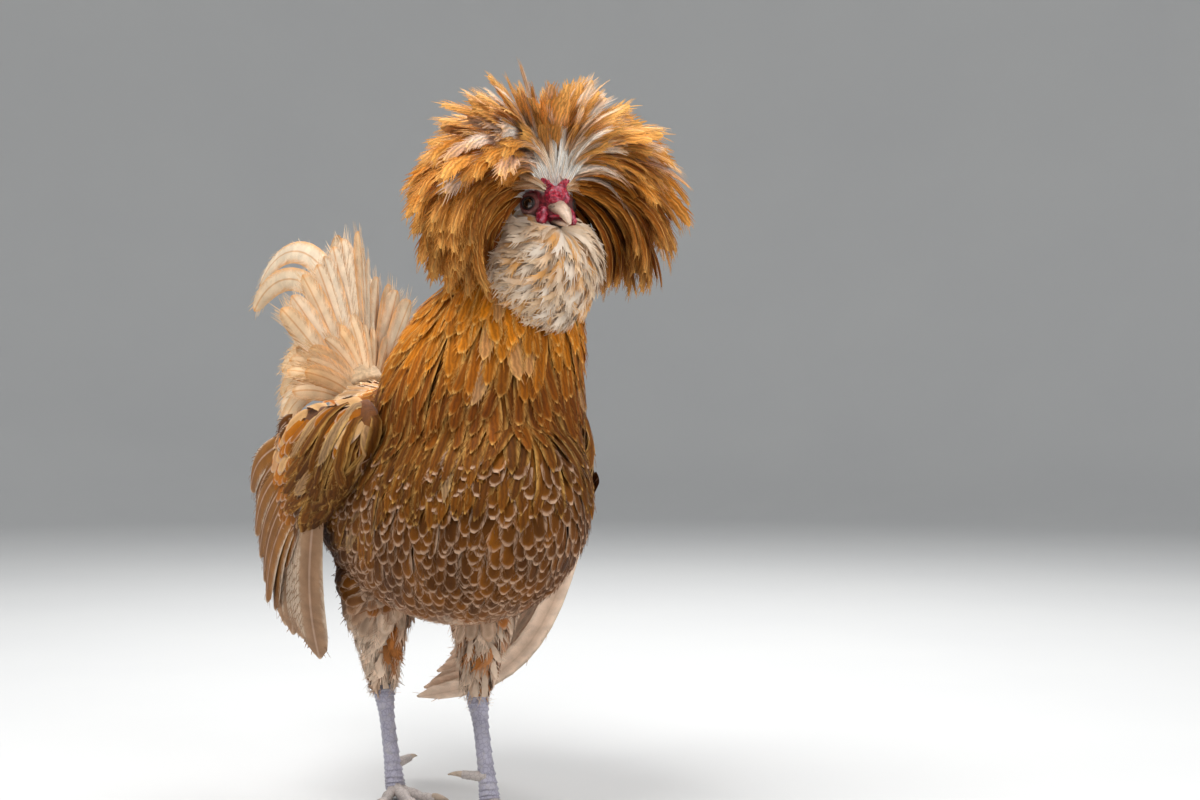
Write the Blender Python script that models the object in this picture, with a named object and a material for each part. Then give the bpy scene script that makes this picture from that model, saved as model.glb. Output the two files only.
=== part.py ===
"""A crested cock that stands with one leg forward and its neck stretched up, as a still, life-size model.

The bird faces -Y, its own right side is at -X, and the floor is z = 0. Everything is in metres.
"""

import math
import random

import bmesh
import bpy
from mathutils import Matrix, Vector

# Driving sizes
CUT_GROW = 0.0004
HEAD_X = 0.0175
EYE_Y = -0.146
EYE_Z = 0.418
EYE_OUT = 0.0115
EYE_RADIUS = 0.0061
CREST_CORE = Vector((0.0205, -0.1060, 0.4400))
CREST_ROOT = Vector((0.0220, -0.1260, 0.4360))
CREST_CORE_SIZE = Vector((0.0440, 0.0380, 0.0320))
BEARD_ROOT = Vector((HEAD_X, -0.1430, 0.3960))
BEARD_CORE = Vector((HEAD_X, -0.1420, 0.3830))
BEARD_CORE_SIZE = Vector((0.0230, 0.0190, 0.0230))
TAIL_ROOT = Vector((-0.002, 0.150, 0.298))
FACE_ZONE = Vector((HEAD_X, -0.1660, 0.4190))
FACE_ZONE_SIZE = Vector((0.0240, 0.0300, 0.0175))
NOSTRIL_RADIUS = 0.0014
SHANK_RADIUS = 0.0056
TOE_RADIUS = 0.0043
TOES = {"inner": (-34.0, 0.040, 0.96), "middle": (3.0, 0.054, 1.08), "outer": (38.0, 0.044, 0.92)}
FOOT = {"left": Vector((0.022, -0.038, 0.0)), "right": Vector((-0.020, 0.038, 0.0))}
HOCK = {"left": Vector((0.0205, -0.020, 0.080)), "right": Vector((-0.0245, 0.050, 0.080))}
HIP = {"left": Vector((0.036, 0.002, 0.172)), "right": Vector((-0.036, 0.032, 0.172))}
SIDE = {"left": 1, "right": -1}
FORWARD = Vector((0, -1, 0))

# Stations of the body: x, y, z, half width, half depth
TORSO = (
    (0.000, -0.1570, 0.2370, 0.0120, 0.0150),
    (0.000, -0.1520, 0.2365, 0.0300, 0.0350),
    (0.000, -0.1390, 0.2340, 0.0480, 0.0540),
    (0.000, -0.1120, 0.2290, 0.0670, 0.0730),
    (0.000, -0.0750, 0.2240, 0.0800, 0.0850),
    (0.000, -0.0200, 0.2210, 0.0860, 0.0890),
    (0.000, 0.0400, 0.2270, 0.0830, 0.0820),
    (0.000, 0.0900, 0.2420, 0.0690, 0.0660),
    (0.000, 0.1300, 0.2620, 0.0480, 0.0470),
    (0.000, 0.1560, 0.2800, 0.0280, 0.0290),
    (0.000, 0.1660, 0.2870, 0.0120, 0.0130),
)
NECK = (
    (0.000, -0.0620, 0.2550, 0.0620, 0.0720),
    (0.002, -0.0700, 0.2850, 0.0660, 0.0730),
    (0.006, -0.0820, 0.3150, 0.0590, 0.0630),
    (0.011, -0.0960, 0.3450, 0.0480, 0.0500),
    (0.015, -0.1080, 0.3750, 0.0350, 0.0370),
    (0.017, -0.1170, 0.4000, 0.0290, 0.0300),
    (0.0175, -0.1200, 0.4200, 0.0220, 0.0240),
)
HEAD = (
    (HEAD_X, -0.1640, 0.4110, 0.0040, 0.0045),
    (HEAD_X, -0.1610, 0.4115, 0.0068, 0.0080),
    (HEAD_X, -0.1540, 0.4135, 0.0108, 0.0118),
    (HEAD_X, -0.1450, 0.4180, 0.0142, 0.0170),
    (HEAD_X, -0.1330, 0.4230, 0.0176, 0.0220),
    (HEAD_X, -0.1200, 0.4250, 0.0186, 0.0235),
    (HEAD_X, -0.1080, 0.4240, 0.0165, 0.0210),
    (HEAD_X, -0.0990, 0.4220, 0.0110, 0.0140),
    (HEAD_X, -0.0960, 0.4210, 0.0050, 0.0060),
)


# Feathers: half widths and the thickness of every vane
VANE = 0.0008
CREST_HALF = 0.0085
BEARD_HALF = 0.0058
HACKLE_HALF = 0.0086
SADDLE_HALF = 0.0080

# Crest rows: rise of the root in degrees, count, length, bend in degrees, half of the gap over the face
CREST_ROWS = (
    (84.0, 4, 0.070, 24.0, 0.0),
    (64.0, 7, 0.086, 52.0, 0.0),
    (46.0, 11, 0.098, 90.0, 24.0),
    (28.0, 12, 0.116, 98.0, 44.0),
    (8.0, 12, 0.116, 94.0, 58.0),
    (-12.0, 9, 0.104, 74.0, 66.0),
)
# Beard rows: degrees away from straight ahead, count, length, widest turn from straight down
BEARD_ROWS = (
    (30.0, 5, 0.024, 80.0),
    (54.0, 7, 0.034, 105.0),
    (76.0, 8, 0.044, 108.0),
    (92.0, 8, 0.050, 104.0),
)
# Hackle rows: place along the neck, count, length, how far the tips stand off
HACKLE_ROWS = (
    (0.60, 9, 0.066, 0.010),
    (0.38, 12, 0.074, 0.012),
    (0.19, 14, 0.068, 0.010),
)
# Saddle rows: place along the body, count, length, widest turn from the back's top
SADDLE_ROWS = (
    (0.62, 7, 0.070, 72.0),
    (0.76, 7, 0.072, 66.0),
)
# Tail rows: name, pairs, first and last turn to the side, rise, bend, power, length, half width, drop
TAIL_ROWS = (
    ("main", 5, 5.0, 46.0, (80.0, 58.0), 10.0, 1.5, (0.122, 0.098), 0.0115, 0.012),
    ("sickle", 1, 9.0, 9.0, (74.0, 74.0), 134.0, 1.6, (0.246, 0.246), 0.0105, 0.0),
    ("sickle", 1, 15.0, 15.0, (70.0, 70.0), 132.0, 1.6, (0.200, 0.200), 0.0095, 0.0),
    ("lesser", 2, 16.0, 40.0, (60.0, 32.0), 112.0, 1.2, (0.112, 0.084), 0.0090, 0.010),
    ("covert", 3, 8.0, 40.0, (74.0, 50.0), 40.0, 1.2, (0.075, 0.062), 0.0095, 0.008),
)


# Looks of the nodes whose names start so: colour, roughness
LOOKS = {
    "claw": ((0.66, 0.60, 0.54), 0.45),
    "toe": ((0.52, 0.48, 0.46), 0.60),
    "shank": ((0.42, 0.44, 0.52), 0.60),
    "thigh": ((0.78, 0.66, 0.50), 0.80),
    "eye": ((0.03, 0.02, 0.02), 0.10),
    "beak": ((0.72, 0.60, 0.50), 0.45),
    "comb": ((0.50, 0.03, 0.06), 0.40),
    "wattle": ((0.50, 0.03, 0.06), 0.40),
    "crest": ((0.70, 0.36, 0.10), 0.75),
    "beard": ((0.84, 0.74, 0.60), 0.80),
    "neck": ((0.68, 0.38, 0.12), 0.70),
    "wing": ((0.64, 0.40, 0.18), 0.65),
    "tail": ((0.84, 0.70, 0.52), 0.65),
    "torso": ((0.58, 0.32, 0.10), 0.75),
    "head": ((0.45, 0.16, 0.10), 0.70),
}


def clear_scene():
    for old in list(bpy.data.objects):
        bpy.data.objects.remove(old)


def new_collection(name):
    made = bpy.data.collections.new(name)
    bpy.context.scene.collection.children.link(made)
    return made


def new_material(name, colour, roughness):
    made = bpy.data.materials.new(name)
    made.use_nodes = True
    shader = made.node_tree.nodes["Principled BSDF"]
    shader.inputs["Base Color"].default_value = (*colour, 1.0)
    shader.inputs["Roughness"].default_value = roughness
    shader.inputs["Metallic"].default_value = 0.0
    return made


def new_object(name, points, faces, place):
    mesh = bpy.data.meshes.new(name)
    mesh.from_pydata([tuple(p) for p in points], [], faces)
    mesh.update()
    made = bpy.data.objects.new(name, mesh)
    place.objects.link(made)
    return made


def face_out(made):
    """Turns the faces of a closed mesh outward."""
    work = bmesh.new()
    work.from_mesh(made.data)
    bmesh.ops.recalc_face_normals(work, faces=work.faces)
    work.to_mesh(made.data)
    work.free()
    return made


def spline(stations, t):
    """The row of numbers at t, from 0 to 1, on a smooth curve through the stations."""
    last = len(stations) - 1
    at = min(t, 0.999999) * last
    i = int(at)
    f = at - i
    rows = [stations[min(max(i + k, 0), last)] for k in (-1, 0, 1, 2)]
    found = []
    for a, b, c, d in zip(*rows):
        square = (2 * a - 5 * b + 4 * c - d) * f * f
        cube = (3 * b - a - 3 * c + d) * f ** 3
        found.append(0.5 * (2 * b + (c - a) * f + square + cube))
    return found


def ring_frame(ahead):
    """The side and the upper direction of a ring that looks along ahead."""
    side = Vector((1, 0, 0))
    side = (side - ahead * side.dot(ahead)).normalized()
    return side, side.cross(ahead).normalized()


def loft(name, stations, rings, sides, place, grow=0.0, floor=None):
    """A closed round form through stations of x, y, z, half width and half depth."""
    rows = [spline(stations, i / (rings - 1)) for i in range(rings)]
    centres = [Vector(row[:3]) for row in rows]
    points = []
    for i, row in enumerate(rows):
        ahead = (centres[min(i + 1, rings - 1)] - centres[max(i - 1, 0)]).normalized()
        side, upper = ring_frame(ahead)
        wide = row[3] + grow
        deep = row[4] + grow
        for k in range(sides):
            turn = math.tau * (k + 0.5) / sides
            points.append(centres[i] + side * wide * math.sin(turn) + upper * deep * math.cos(turn))
    first = (centres[0] - centres[1]).normalized()
    last = (centres[-1] - centres[-2]).normalized()
    points.append(centres[0] + first * (0.4 * min(rows[0][3:5]) + grow))
    points.append(centres[-1] + last * (0.4 * min(rows[-1][3:5]) + grow))
    faces = []
    for i in range(rings - 1):
        for k in range(sides):
            a = i * sides + k
            b = i * sides + (k + 1) % sides
            faces.append((a, b, b + sides, a + sides))
    for k in range(sides):
        after = (k + 1) % sides
        faces.append((len(points) - 2, after, k))
        end = (rings - 1) * sides
        faces.append((len(points) - 1, end + k, end + after))
    if floor is not None:
        points = [Vector((p.x, p.y, max(p.z, floor))) for p in points]
    return face_out(new_object(name, points, faces, place))


def ball(name, centre, radii, place, segments=16, rings=10, turn=None):
    """An ellipsoid about centre."""
    work = bmesh.new()
    bmesh.ops.create_uvsphere(work, u_segments=segments, v_segments=rings, radius=1.0)
    spin = turn or Matrix.Identity(3)
    for vert in work.verts:
        stretched = Vector((vert.co.x * radii[0], vert.co.y * radii[1], vert.co.z * radii[2]))
        vert.co = Vector(centre) + spin @ stretched
    mesh = bpy.data.meshes.new(name)
    work.to_mesh(mesh)
    work.free()
    made = bpy.data.objects.new(name, mesh)
    place.objects.link(made)
    return made


def apply_boolean(made, operation, tools, solver="MANIFOLD"):
    """Joins the tools to a form, or cuts them from it, and removes them."""
    if not tools:
        return made
    held = bpy.data.collections.new("Tools")
    for tool in tools:
        held.objects.link(tool)
    step = made.modifiers.new("Boolean", "BOOLEAN")
    step.operation = operation
    step.operand_type = "COLLECTION"
    step.collection = held
    step.solver = solver
    bpy.context.view_layer.update()
    graph = bpy.context.evaluated_depsgraph_get()
    result = bpy.data.meshes.new_from_object(made.evaluated_get(graph))
    made.modifiers.remove(step)
    old = made.data
    made.data = result
    bpy.data.meshes.remove(old)
    for tool in list(held.objects):
        bpy.data.objects.remove(tool)
    bpy.data.collections.remove(held)
    return made


def shells_of(work):
    """The separate surfaces of a bmesh, each as a list of faces."""
    work.faces.ensure_lookup_table()
    seen = set()
    found = []
    for start in work.faces:
        if start.index in seen:
            continue
        seen.add(start.index)
        shell = [start]
        for face in shell:
            for edge in face.edges:
                for other in edge.link_faces:
                    if other.index not in seen:
                        seen.add(other.index)
                        shell.append(other)
        found.append(shell)
    return found


def shell_volume(shell):
    total = 0.0
    for face in shell:
        corners = [vert.co for vert in face.verts]
        for b, c in zip(corners[1:-1], corners[2:]):
            total += corners[0].dot(b.cross(c)) / 6
    return total


def keep_largest(made):
    """Drops the loose scraps and the sealed hollows that a union or a cut leaves."""
    work = bmesh.new()
    work.from_mesh(made.data)
    shells = sorted(shells_of(work), key=shell_volume, reverse=True)
    loose = [face for shell in shells[1:] for face in shell]
    if loose:
        bmesh.ops.delete(work, geom=loose, context="FACES")
    work.to_mesh(made.data)
    work.free()
    return len(shells) - 1


def paint(made):
    """Gives a node its own material, and smooth shading but for its sharp edges."""
    colour, roughness = next(look for start, look in LOOKS.items() if made.name.startswith(start))
    made.data.materials.clear()
    made.data.materials.append(new_material(made.name, colour, roughness))
    for face in made.data.polygons:
        face.use_smooth = True
        face.material_index = 0
    made.data.set_sharp_from_angle(angle=math.radians(40))


def join(made, tools):
    """One Boolean union of closed forms, of which the largest closed surface is kept."""
    apply_boolean(made, "UNION", tools)
    keep_largest(made)
    return made


def vane(name, path, looks, halves, thick, place, grow=0.0):
    """A flat closed feather along path: where its flat side looks and its half width at each point."""
    points = []
    last = len(path) - 1
    for i, spot in enumerate(path):
        ahead = (path[min(i + 1, last)] - path[max(i - 1, 0)]).normalized()
        out = (looks[i] - ahead * looks[i].dot(ahead)).normalized()
        side = ahead.cross(out)
        wide = side * (halves[i] + grow)
        deep = out * (thick / 2 + grow)
        end = ahead * (grow if i == last else -grow if i == 0 else 0.0)
        mid = spot + end
        points += [mid + wide - deep, mid - wide - deep, mid + wide + deep, mid - wide + deep]
    faces = [(0, 1, 2), (2, 1, 3)]
    for i in range(last):
        a, b, c, d = (4 * i + k for k in range(4))
        e, f, g, h = (4 * i + 4 + k for k in range(4))
        faces += [(a, f, b), (a, e, f), (c, d, h), (c, h, g)]
        faces += [(a, c, e), (c, g, e), (b, f, d), (d, f, h)]
    top = 4 * last
    faces += [(top, top + 2, top + 1), (top + 2, top + 3, top + 1)]
    return face_out(new_object(name, points, faces, place))


def bent_line(start, turn, rise, bend, power, length, steps):
    """A line that leaves start at an angle above level and bends down, and where its upper side looks."""
    level = Vector((math.sin(turn), -math.cos(turn), 0))
    path, looks = [Vector(start)], []
    fine = 6
    for i in range(steps * fine):
        slope = rise - bend * ((i + 0.5) / (steps * fine)) ** power
        ahead = level * math.cos(slope) + Vector((0, 0, math.sin(slope)))
        path.append(path[-1] + ahead * length / (steps * fine))
    for i in range(steps + 1):
        slope = rise - bend * (i / steps) ** power
        looks.append(Vector((0, 0, math.cos(slope))) - level * math.sin(slope))
    return path[::fine], looks


def rolled(path, looks, roll):
    """The looks of a feather that rolls about its own length, from none at its root to roll at its tip."""
    found = []
    last = len(path) - 1
    for i, look in enumerate(looks):
        ahead = (path[min(i + 1, last)] - path[max(i - 1, 0)]).normalized()
        found.append(Matrix.Rotation(roll * i / last, 3, ahead) @ look)
    return found


def spread(count, i):
    """The place of piece i of count, from -1 to 1."""
    return 0.0 if count == 1 else 2.0 * i / (count - 1) - 1.0


def leaf(half, steps, tip=0.25, root=0.55, swell=0.6):
    """Half widths of a feather that widens up to swell and narrows to its tip."""
    found = []
    for i in range(steps + 1):
        t = i / steps
        if t < swell:
            found.append(half * (root + (1 - root) * math.sin(t / swell * math.pi / 2)))
        else:
            found.append(half * (tip + (1 - tip) * math.cos((t - swell) / (1 - swell) * math.pi / 2)))
    return found


def eye_centre(side):
    return Vector((HEAD_X + SIDE[side] * EYE_OUT, EYE_Y, EYE_Z))


def lid(side, place, grow):
    """The ring of the two lids, a little wider than high."""
    centre = eye_centre(side) + Vector((SIDE[side] * 0.0030, -0.0006, 0))
    around, across = 10, 4
    work = bmesh.new()
    rows = []
    for i in range(around):
        turn = math.tau * i / around
        out = Vector((0, math.cos(turn) * 1.12, math.sin(turn)))
        row = []
        for k in range(across):
            roll = math.tau * k / across
            reach = 0.0052 + (0.0015 + grow) * math.cos(roll)
            lift = Vector((SIDE[side] * (0.0016 + grow) * math.sin(roll), 0, 0))
            row.append(work.verts.new(centre + out * reach + lift))
        rows.append(row)
    for i in range(around):
        for k in range(across):
            after, over = (i + 1) % around, (k + 1) % across
            work.faces.new((rows[i][k], rows[after][k], rows[after][over], rows[i][over]))
    bmesh.ops.recalc_face_normals(work, faces=work.faces)
    mesh = bpy.data.meshes.new("lid")
    work.to_mesh(mesh)
    work.free()
    made = bpy.data.objects.new("lid_" + side, mesh)
    place.objects.link(made)
    return made


def head_core(place, grow):
    return loft("head", HEAD, 9, 14, place, grow)


def head(place, grow):
    return join(head_core(place, grow), [lid(side, place, grow) for side in SIDE])


def face_zone(place, grow):
    """The clear space before the eyes, the comb and the beak, which no feather enters."""
    return ball("face", FACE_ZONE, tuple(size + grow for size in FACE_ZONE_SIZE), place, 14, 9)


def eye(side):
    def make(place, grow):
        return ball("eye_" + side, eye_centre(side), (EYE_RADIUS + grow,) * 3, place, 10, 7)
    return make


def beak_upper(place, grow):
    """The upper beak with its two nostrils. The grown copy that cuts its neighbours has none."""
    stations = (
        (HEAD_X, -0.1560, 0.4150, 0.0078, 0.0050),
        (HEAD_X, -0.1620, 0.4140, 0.0070, 0.0050),
        (HEAD_X, -0.1680, 0.4115, 0.0052, 0.0044),
        (HEAD_X, -0.1735, 0.4080, 0.0034, 0.0034),
        (HEAD_X, -0.1768, 0.4048, 0.0016, 0.0018),
    )
    made = loft("beak_upper", stations, 7, 12, place, grow)
    if grow:
        return made
    pits = []
    for sign in SIDE.values():
        spot = Vector((HEAD_X + sign * 0.0060, -0.1650, 0.4143))
        pits.append(ball("nostril", spot, (NOSTRIL_RADIUS,) * 3, place, 8, 5))
    return apply_boolean(made, "DIFFERENCE", pits)


def beak_lower(place, grow):
    stations = (
        (HEAD_X, -0.1560, 0.4045, 0.0068, 0.0030),
        (HEAD_X, -0.1640, 0.4040, 0.0054, 0.0028),
        (HEAD_X, -0.1700, 0.4028, 0.0034, 0.0021),
        (HEAD_X, -0.1738, 0.4014, 0.0014, 0.0011),
    )
    return loft("beak_lower", stations, 5, 10, place, grow)


def comb(place, grow):
    """Two small horns over a low base of round grains."""
    base = ball("comb", (HEAD_X, -0.1560, 0.4245), (0.0088 + grow, 0.0066 + grow, 0.0066 + grow), place, 9, 5)
    bumps = []
    for sign in (1, -1):
        horn_stations = (
            (HEAD_X + sign * 0.0040, -0.1510, 0.4260, 0.0034, 0.0040),
            (HEAD_X + sign * 0.0066, -0.1508, 0.4300, 0.0029, 0.0033),
            (HEAD_X + sign * 0.0084, -0.1500, 0.4340, 0.0018, 0.0020),
            (HEAD_X + sign * 0.0090, -0.1490, 0.4368, 0.0007, 0.0008),
        )
        bumps.append(loft("horn", horn_stations, 3, 5, place, grow))
        for i in range(3):
            out = Vector((sign * (0.0020 + 0.0020 * i), -0.1622 + 0.0012 * i, 0.4262 - 0.0034 * (i % 2)))
            bumps.append(ball("bump", Vector((HEAD_X, 0, 0)) + out, (0.0026 + grow,) * 3, place, 5, 4))
    return join(base, bumps)


def wattle(side):
    def make(place, grow):
        sign = SIDE[side]
        stations = (
            (HEAD_X + sign * 0.0096, -0.1530, 0.4120, 0.0022, 0.0030),
            (HEAD_X + sign * 0.0112, -0.1545, 0.4085, 0.0028, 0.0044),
            (HEAD_X + sign * 0.0118, -0.1550, 0.4045, 0.0026, 0.0044),
            (HEAD_X + sign * 0.0116, -0.1545, 0.4015, 0.0014, 0.0022),
        )
        return loft("wattle_" + side, stations, 6, 8, place, grow)
    return make


def thigh(side):
    def make(place, grow):
        hip, hock = HIP[side], HOCK[side]
        stations = (
            (*hip, 0.0330, 0.0400),
            (*hip.lerp(hock, 0.35), 0.0265, 0.0300),
            (*hip.lerp(hock, 0.65), 0.0185, 0.0200),
            (*hip.lerp(hock, 0.90), 0.0110, 0.0120),
            (*hock, 0.0080, 0.0086),
        )
        return loft("thigh_" + side, stations, 8, 14, place, grow)
    return make


def ankle_of(side):
    return FOOT[side] + Vector((0, 0, 0.010))


def shank(side):
    def make(place, grow):
        hock, ankle = HOCK[side], ankle_of(side)
        stations = (
            (*hock, 0.0064, 0.0070),
            (*hock.lerp(ankle, 0.30), SHANK_RADIUS * 0.95, SHANK_RADIUS),
            (*hock.lerp(ankle, 0.70), SHANK_RADIUS, SHANK_RADIUS * 1.05),
            (*ankle, SHANK_RADIUS * 1.25, SHANK_RADIUS * 1.30),
        )
        return loft("shank_" + side, stations, 6, 9, place, grow)
    return make


def toe_plan(side, name):
    """A toe's direction, its length and its thickness against the middle toe's."""
    turn, length, thick = TOES[name]
    turn = math.radians(turn * SIDE[side])
    return Vector((math.sin(turn), -math.cos(turn), 0)), length, thick


def toe(side, name):
    def make(place, grow):
        ahead, length, thick = toe_plan(side, name)
        radius = TOE_RADIUS * thick
        start = FOOT[side] + ahead * 0.0030
        stations = []
        for part in (0.0, 0.25, 0.5, 0.75, 1.0):
            swell = 1.0 - 0.28 * part + 0.06 * math.cos(part * math.tau * 2)
            high = radius * swell * 0.72 + 0.0035 * (1 - part) ** 2
            spot = start + ahead * length * 0.82 * part
            stations.append((spot.x, spot.y, high, radius * swell, radius * swell))
        return loft(f"toe_{name}_{side}", stations, 6, 7, place, grow, floor=-grow)
    return make


def claw(side, name):
    def make(place, grow):
        ahead, length, thick = toe_plan(side, name)
        end = FOOT[side] + ahead * (0.0030 + length * 0.82)
        stations = []
        for part in (0.0, 0.35, 0.7, 1.0):
            spot = end + ahead * (0.0130 * part)
            size = 0.0022 * (1 - part) + 0.0005
            stations.append((spot.x, spot.y, 0.0034 + 0.0012 * part - 0.0030 * part ** 2, size, size * 1.15))
        return loft(f"claw_{name}_{side}", stations, 4, 6, place, grow, floor=-grow)
    return make


def hind_line(side):
    """Where the raised hind toe starts, and which way it points."""
    back = Vector((-SIDE[side] * 0.80, 0.60, 0.0)).normalized()
    return ankle_of(side) + Vector((0, 0, 0.015)) + back * 0.0035, back


def hind_toe(side):
    def make(place, grow):
        start, back = hind_line(side)
        stations = []
        for part in (0.0, 0.5, 1.0):
            spot = start + back * 0.016 * part + Vector((0, 0, 0.001 * part))
            stations.append((*spot, 0.0036 - 0.0010 * part, 0.0036 - 0.0010 * part))
        return loft("toe_hind_" + side, stations, 4, 7, place, grow)
    return make


def hind_claw(side):
    def make(place, grow):
        start, back = hind_line(side)
        stations = []
        for part in (0.0, 0.35, 0.7, 1.0):
            lift = Vector((0, 0, 0.0010 + 0.0020 * part - 0.0018 * part ** 2))
            size = 0.0019 * (1 - part) + 0.0005
            stations.append((*(start + back * (0.0160 + 0.0105 * part) + lift), size, size))
        return loft("claw_hind_" + side, stations, 4, 6, place, grow)
    return make


def lean(seed, i, reach):
    """A small fixed difference between like feathers, from -reach to reach."""
    return reach * (2.0 * random.Random(seed * 1009 + i * 31).random() - 1.0)


def crest_core(place, grow):
    return ball("crest", CREST_CORE, tuple(size + grow for size in CREST_CORE_SIZE), place, 14, 8)


def crest(place, grow):
    """Rows of feathers that radiate from behind the comb, arch out and hang at the sides and the back."""
    feathers = []
    for row, (rise, count, length, bend, gap) in enumerate(CREST_ROWS):
        for i in range(count):
            number = row * 100 + i
            turn = gap + (360.0 - 2 * gap) * (i + 0.5) / count + lean(1, number, 4.0)
            around = math.radians(turn)
            back = max(0.0, -math.cos(around))
            reach = length * (1 + lean(2, number, 0.09) - 0.10 * back)
            steps = 3 if row < 2 else 4
            start = CREST_ROOT + Vector((0, 0.014 * back, 0))
            path, looks = bent_line(start, around, math.radians(rise + lean(3, number, 5.0)),
                                    math.radians(bend + lean(4, number, 8.0)), 1.15, reach, steps)
            face_on = Vector((0, -0.9 * abs(math.sin(around)), 0))
            looks = rolled(path, [look + face_on for look in looks], math.radians(lean(19, number, 30.0)))
            halves = leaf(CREST_HALF, steps, 0.55, 0.5, 0.8)
            feathers.append(vane("feather", path, looks, halves, VANE, place, grow))
    return join(crest_core(place, grow), feathers)


def beard_core(place, grow):
    return ball("beard", BEARD_CORE, tuple(size + grow for size in BEARD_CORE_SIZE), place, 12, 7)


def beard(place, grow):
    """Tapered locks that radiate forward, to both sides and down from under the beak."""
    locks = []
    for row, (away, count, length, widest) in enumerate(BEARD_ROWS):
        for i in range(count):
            number = row * 100 + i
            turn = math.radians(widest * spread(count, i) + lean(5, number, 5.0))
            apart = math.radians(away + lean(6, number, 4.0))
            down = max(0.0, math.cos(turn))
            reach = length * (0.72 + 0.28 * down + lean(7, number, 0.07))
            around = Vector((math.sin(turn), 0, -math.cos(turn)))
            ahead = around * math.sin(apart) + FORWARD * math.cos(apart)
            look = FORWARD * (0.2 + math.sin(apart)) + around * math.cos(apart)
            path, looks = [], []
            for k in range(4):
                t = k / 3
                sag = Vector((0, 0.006 * t * t, -0.30 * reach * t * t))
                path.append(BEARD_ROOT + ahead * (0.008 + reach * t) + sag)
                looks.append(look)
            locks.append(vane("lock", path, looks, leaf(BEARD_HALF, 3, 0.22, 0.6, 0.45), VANE, place, grow))
    return join(beard_core(place, grow), locks)


def pushed_out(stations, spot, margin):
    """The spot, moved out where it is nearer than margin to the round form through the stations."""
    rows = [spline(stations, i / 60) for i in range(61)]
    best = None
    for i, row in enumerate(rows):
        centre = Vector(row[:3])
        before, after = Vector(rows[max(i - 1, 0)][:3]), Vector(rows[min(i + 1, 60)][:3])
        ahead = (after - before).normalized()
        off = abs((spot - centre).dot(ahead))
        if best is None or off < best[0]:
            best = (off, centre, ahead, row[3], row[4])
    off, centre, ahead, wide, deep = best
    if off > 0.004:
        return spot
    side, upper = ring_frame(ahead)
    away = spot - centre
    a, b = away.dot(side), away.dot(upper)
    reach = math.hypot(a / (wide + margin), b / (deep + margin))
    if reach >= 1.0 or reach < 1e-6:
        return spot
    return centre + (away - ahead * away.dot(ahead)) / reach + ahead * away.dot(ahead)


def neck_frame(t, turn):
    """A point on the neck's core, the way out of it, and the way down along it."""
    row, lower = spline(NECK, t), spline(NECK, max(t - 0.03, 0.0))
    centre = Vector(row[:3])
    down = (Vector(lower[:3]) - centre).normalized()
    side, upper = ring_frame(-down)
    spot = centre + side * row[3] * math.sin(turn) + upper * row[4] * math.cos(turn)
    out = (side * math.sin(turn) / row[3] + upper * math.cos(turn) / row[4]).normalized()
    return spot, out, down


def neck_core(place, grow):
    return loft("neck", NECK, 7, 14, place, grow)


def neck(place, grow):
    """The hackle: rows of narrow pointed feathers that lie down the neck and over the shoulders."""
    locks = []
    for row, (t, count, length, stand) in enumerate(HACKLE_ROWS):
        for i in range(count):
            number = row * 100 + i
            turn = math.tau * (i + 0.5 * (row % 2)) / count + lean(8, number, 0.05)
            spot, out, down = neck_frame(t + lean(9, number, 0.02), turn)
            reach = length * (1 + lean(10, number, 0.10))
            path, looks = [spot - out * 0.0045], [out]
            for k in range(1, 4):
                part = k / 3
                fall = (down + out * 0.18 * (1 - part) + Vector((0, 0, -0.35 * part))).normalized()
                ahead = path[-1] + fall * reach / 3
                if k == 1:
                    ahead = ahead + out * 0.0050
                for form, margin in ((NECK, stand), (TORSO, stand * 0.55)):
                    ahead = pushed_out(form, ahead, margin * (0.6 + 0.4 * part))
                path.append(ahead)
                looks.append(out)
            locks.append(vane("lock", path, looks, leaf(HACKLE_HALF, 3, 0.20, 0.8, 0.4), VANE, place, grow))
    return join(neck_core(place, grow), locks)


def torso_frame(t, turn):
    """A point on the torso's core, the way out of it, and the way back along it."""
    row, later = spline(TORSO, t), spline(TORSO, min(t + 0.02, 1.0))
    centre = Vector(row[:3])
    back = (Vector(later[:3]) - centre).normalized()
    side, upper = ring_frame(back)
    spot = centre + side * row[3] * math.sin(turn) + upper * row[4] * math.cos(turn)
    out = (side * math.sin(turn) / row[3] + upper * math.cos(turn) / row[4]).normalized()
    return spot, out, back


def torso_core(place, grow):
    return loft("torso", TORSO, 13, 16, place, grow)


def torso(place, grow):
    """The body, with the saddle's pointed feathers hanging to both sides of the tail's root."""
    locks = []
    for row, (t, count, length, widest) in enumerate(SADDLE_ROWS):
        for i in range(count):
            number = row * 100 + i
            turn = math.radians(widest * spread(count, i) + lean(11, number, 3.0))
            spot, out, back = torso_frame(t, turn)
            reach = length * (1 + lean(12, number, 0.10))
            path, looks = [spot - out * 0.005], [out]
            for k in range(1, 4):
                part = k / 3
                fall = (back + Vector((0, 0, -0.9 * part - 0.1)) + out * 0.25 * (1 - part)).normalized()
                ahead = path[-1] + fall * reach / 3
                if k == 1:
                    ahead = ahead + out * 0.005
                path.append(pushed_out(TORSO, ahead, 0.004))
                looks.append(out)
            locks.append(vane("lock", path, looks, leaf(SADDLE_HALF, 3, 0.20, 0.8, 0.45), VANE, place, grow))
    return join(torso_core(place, grow), locks)


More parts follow.
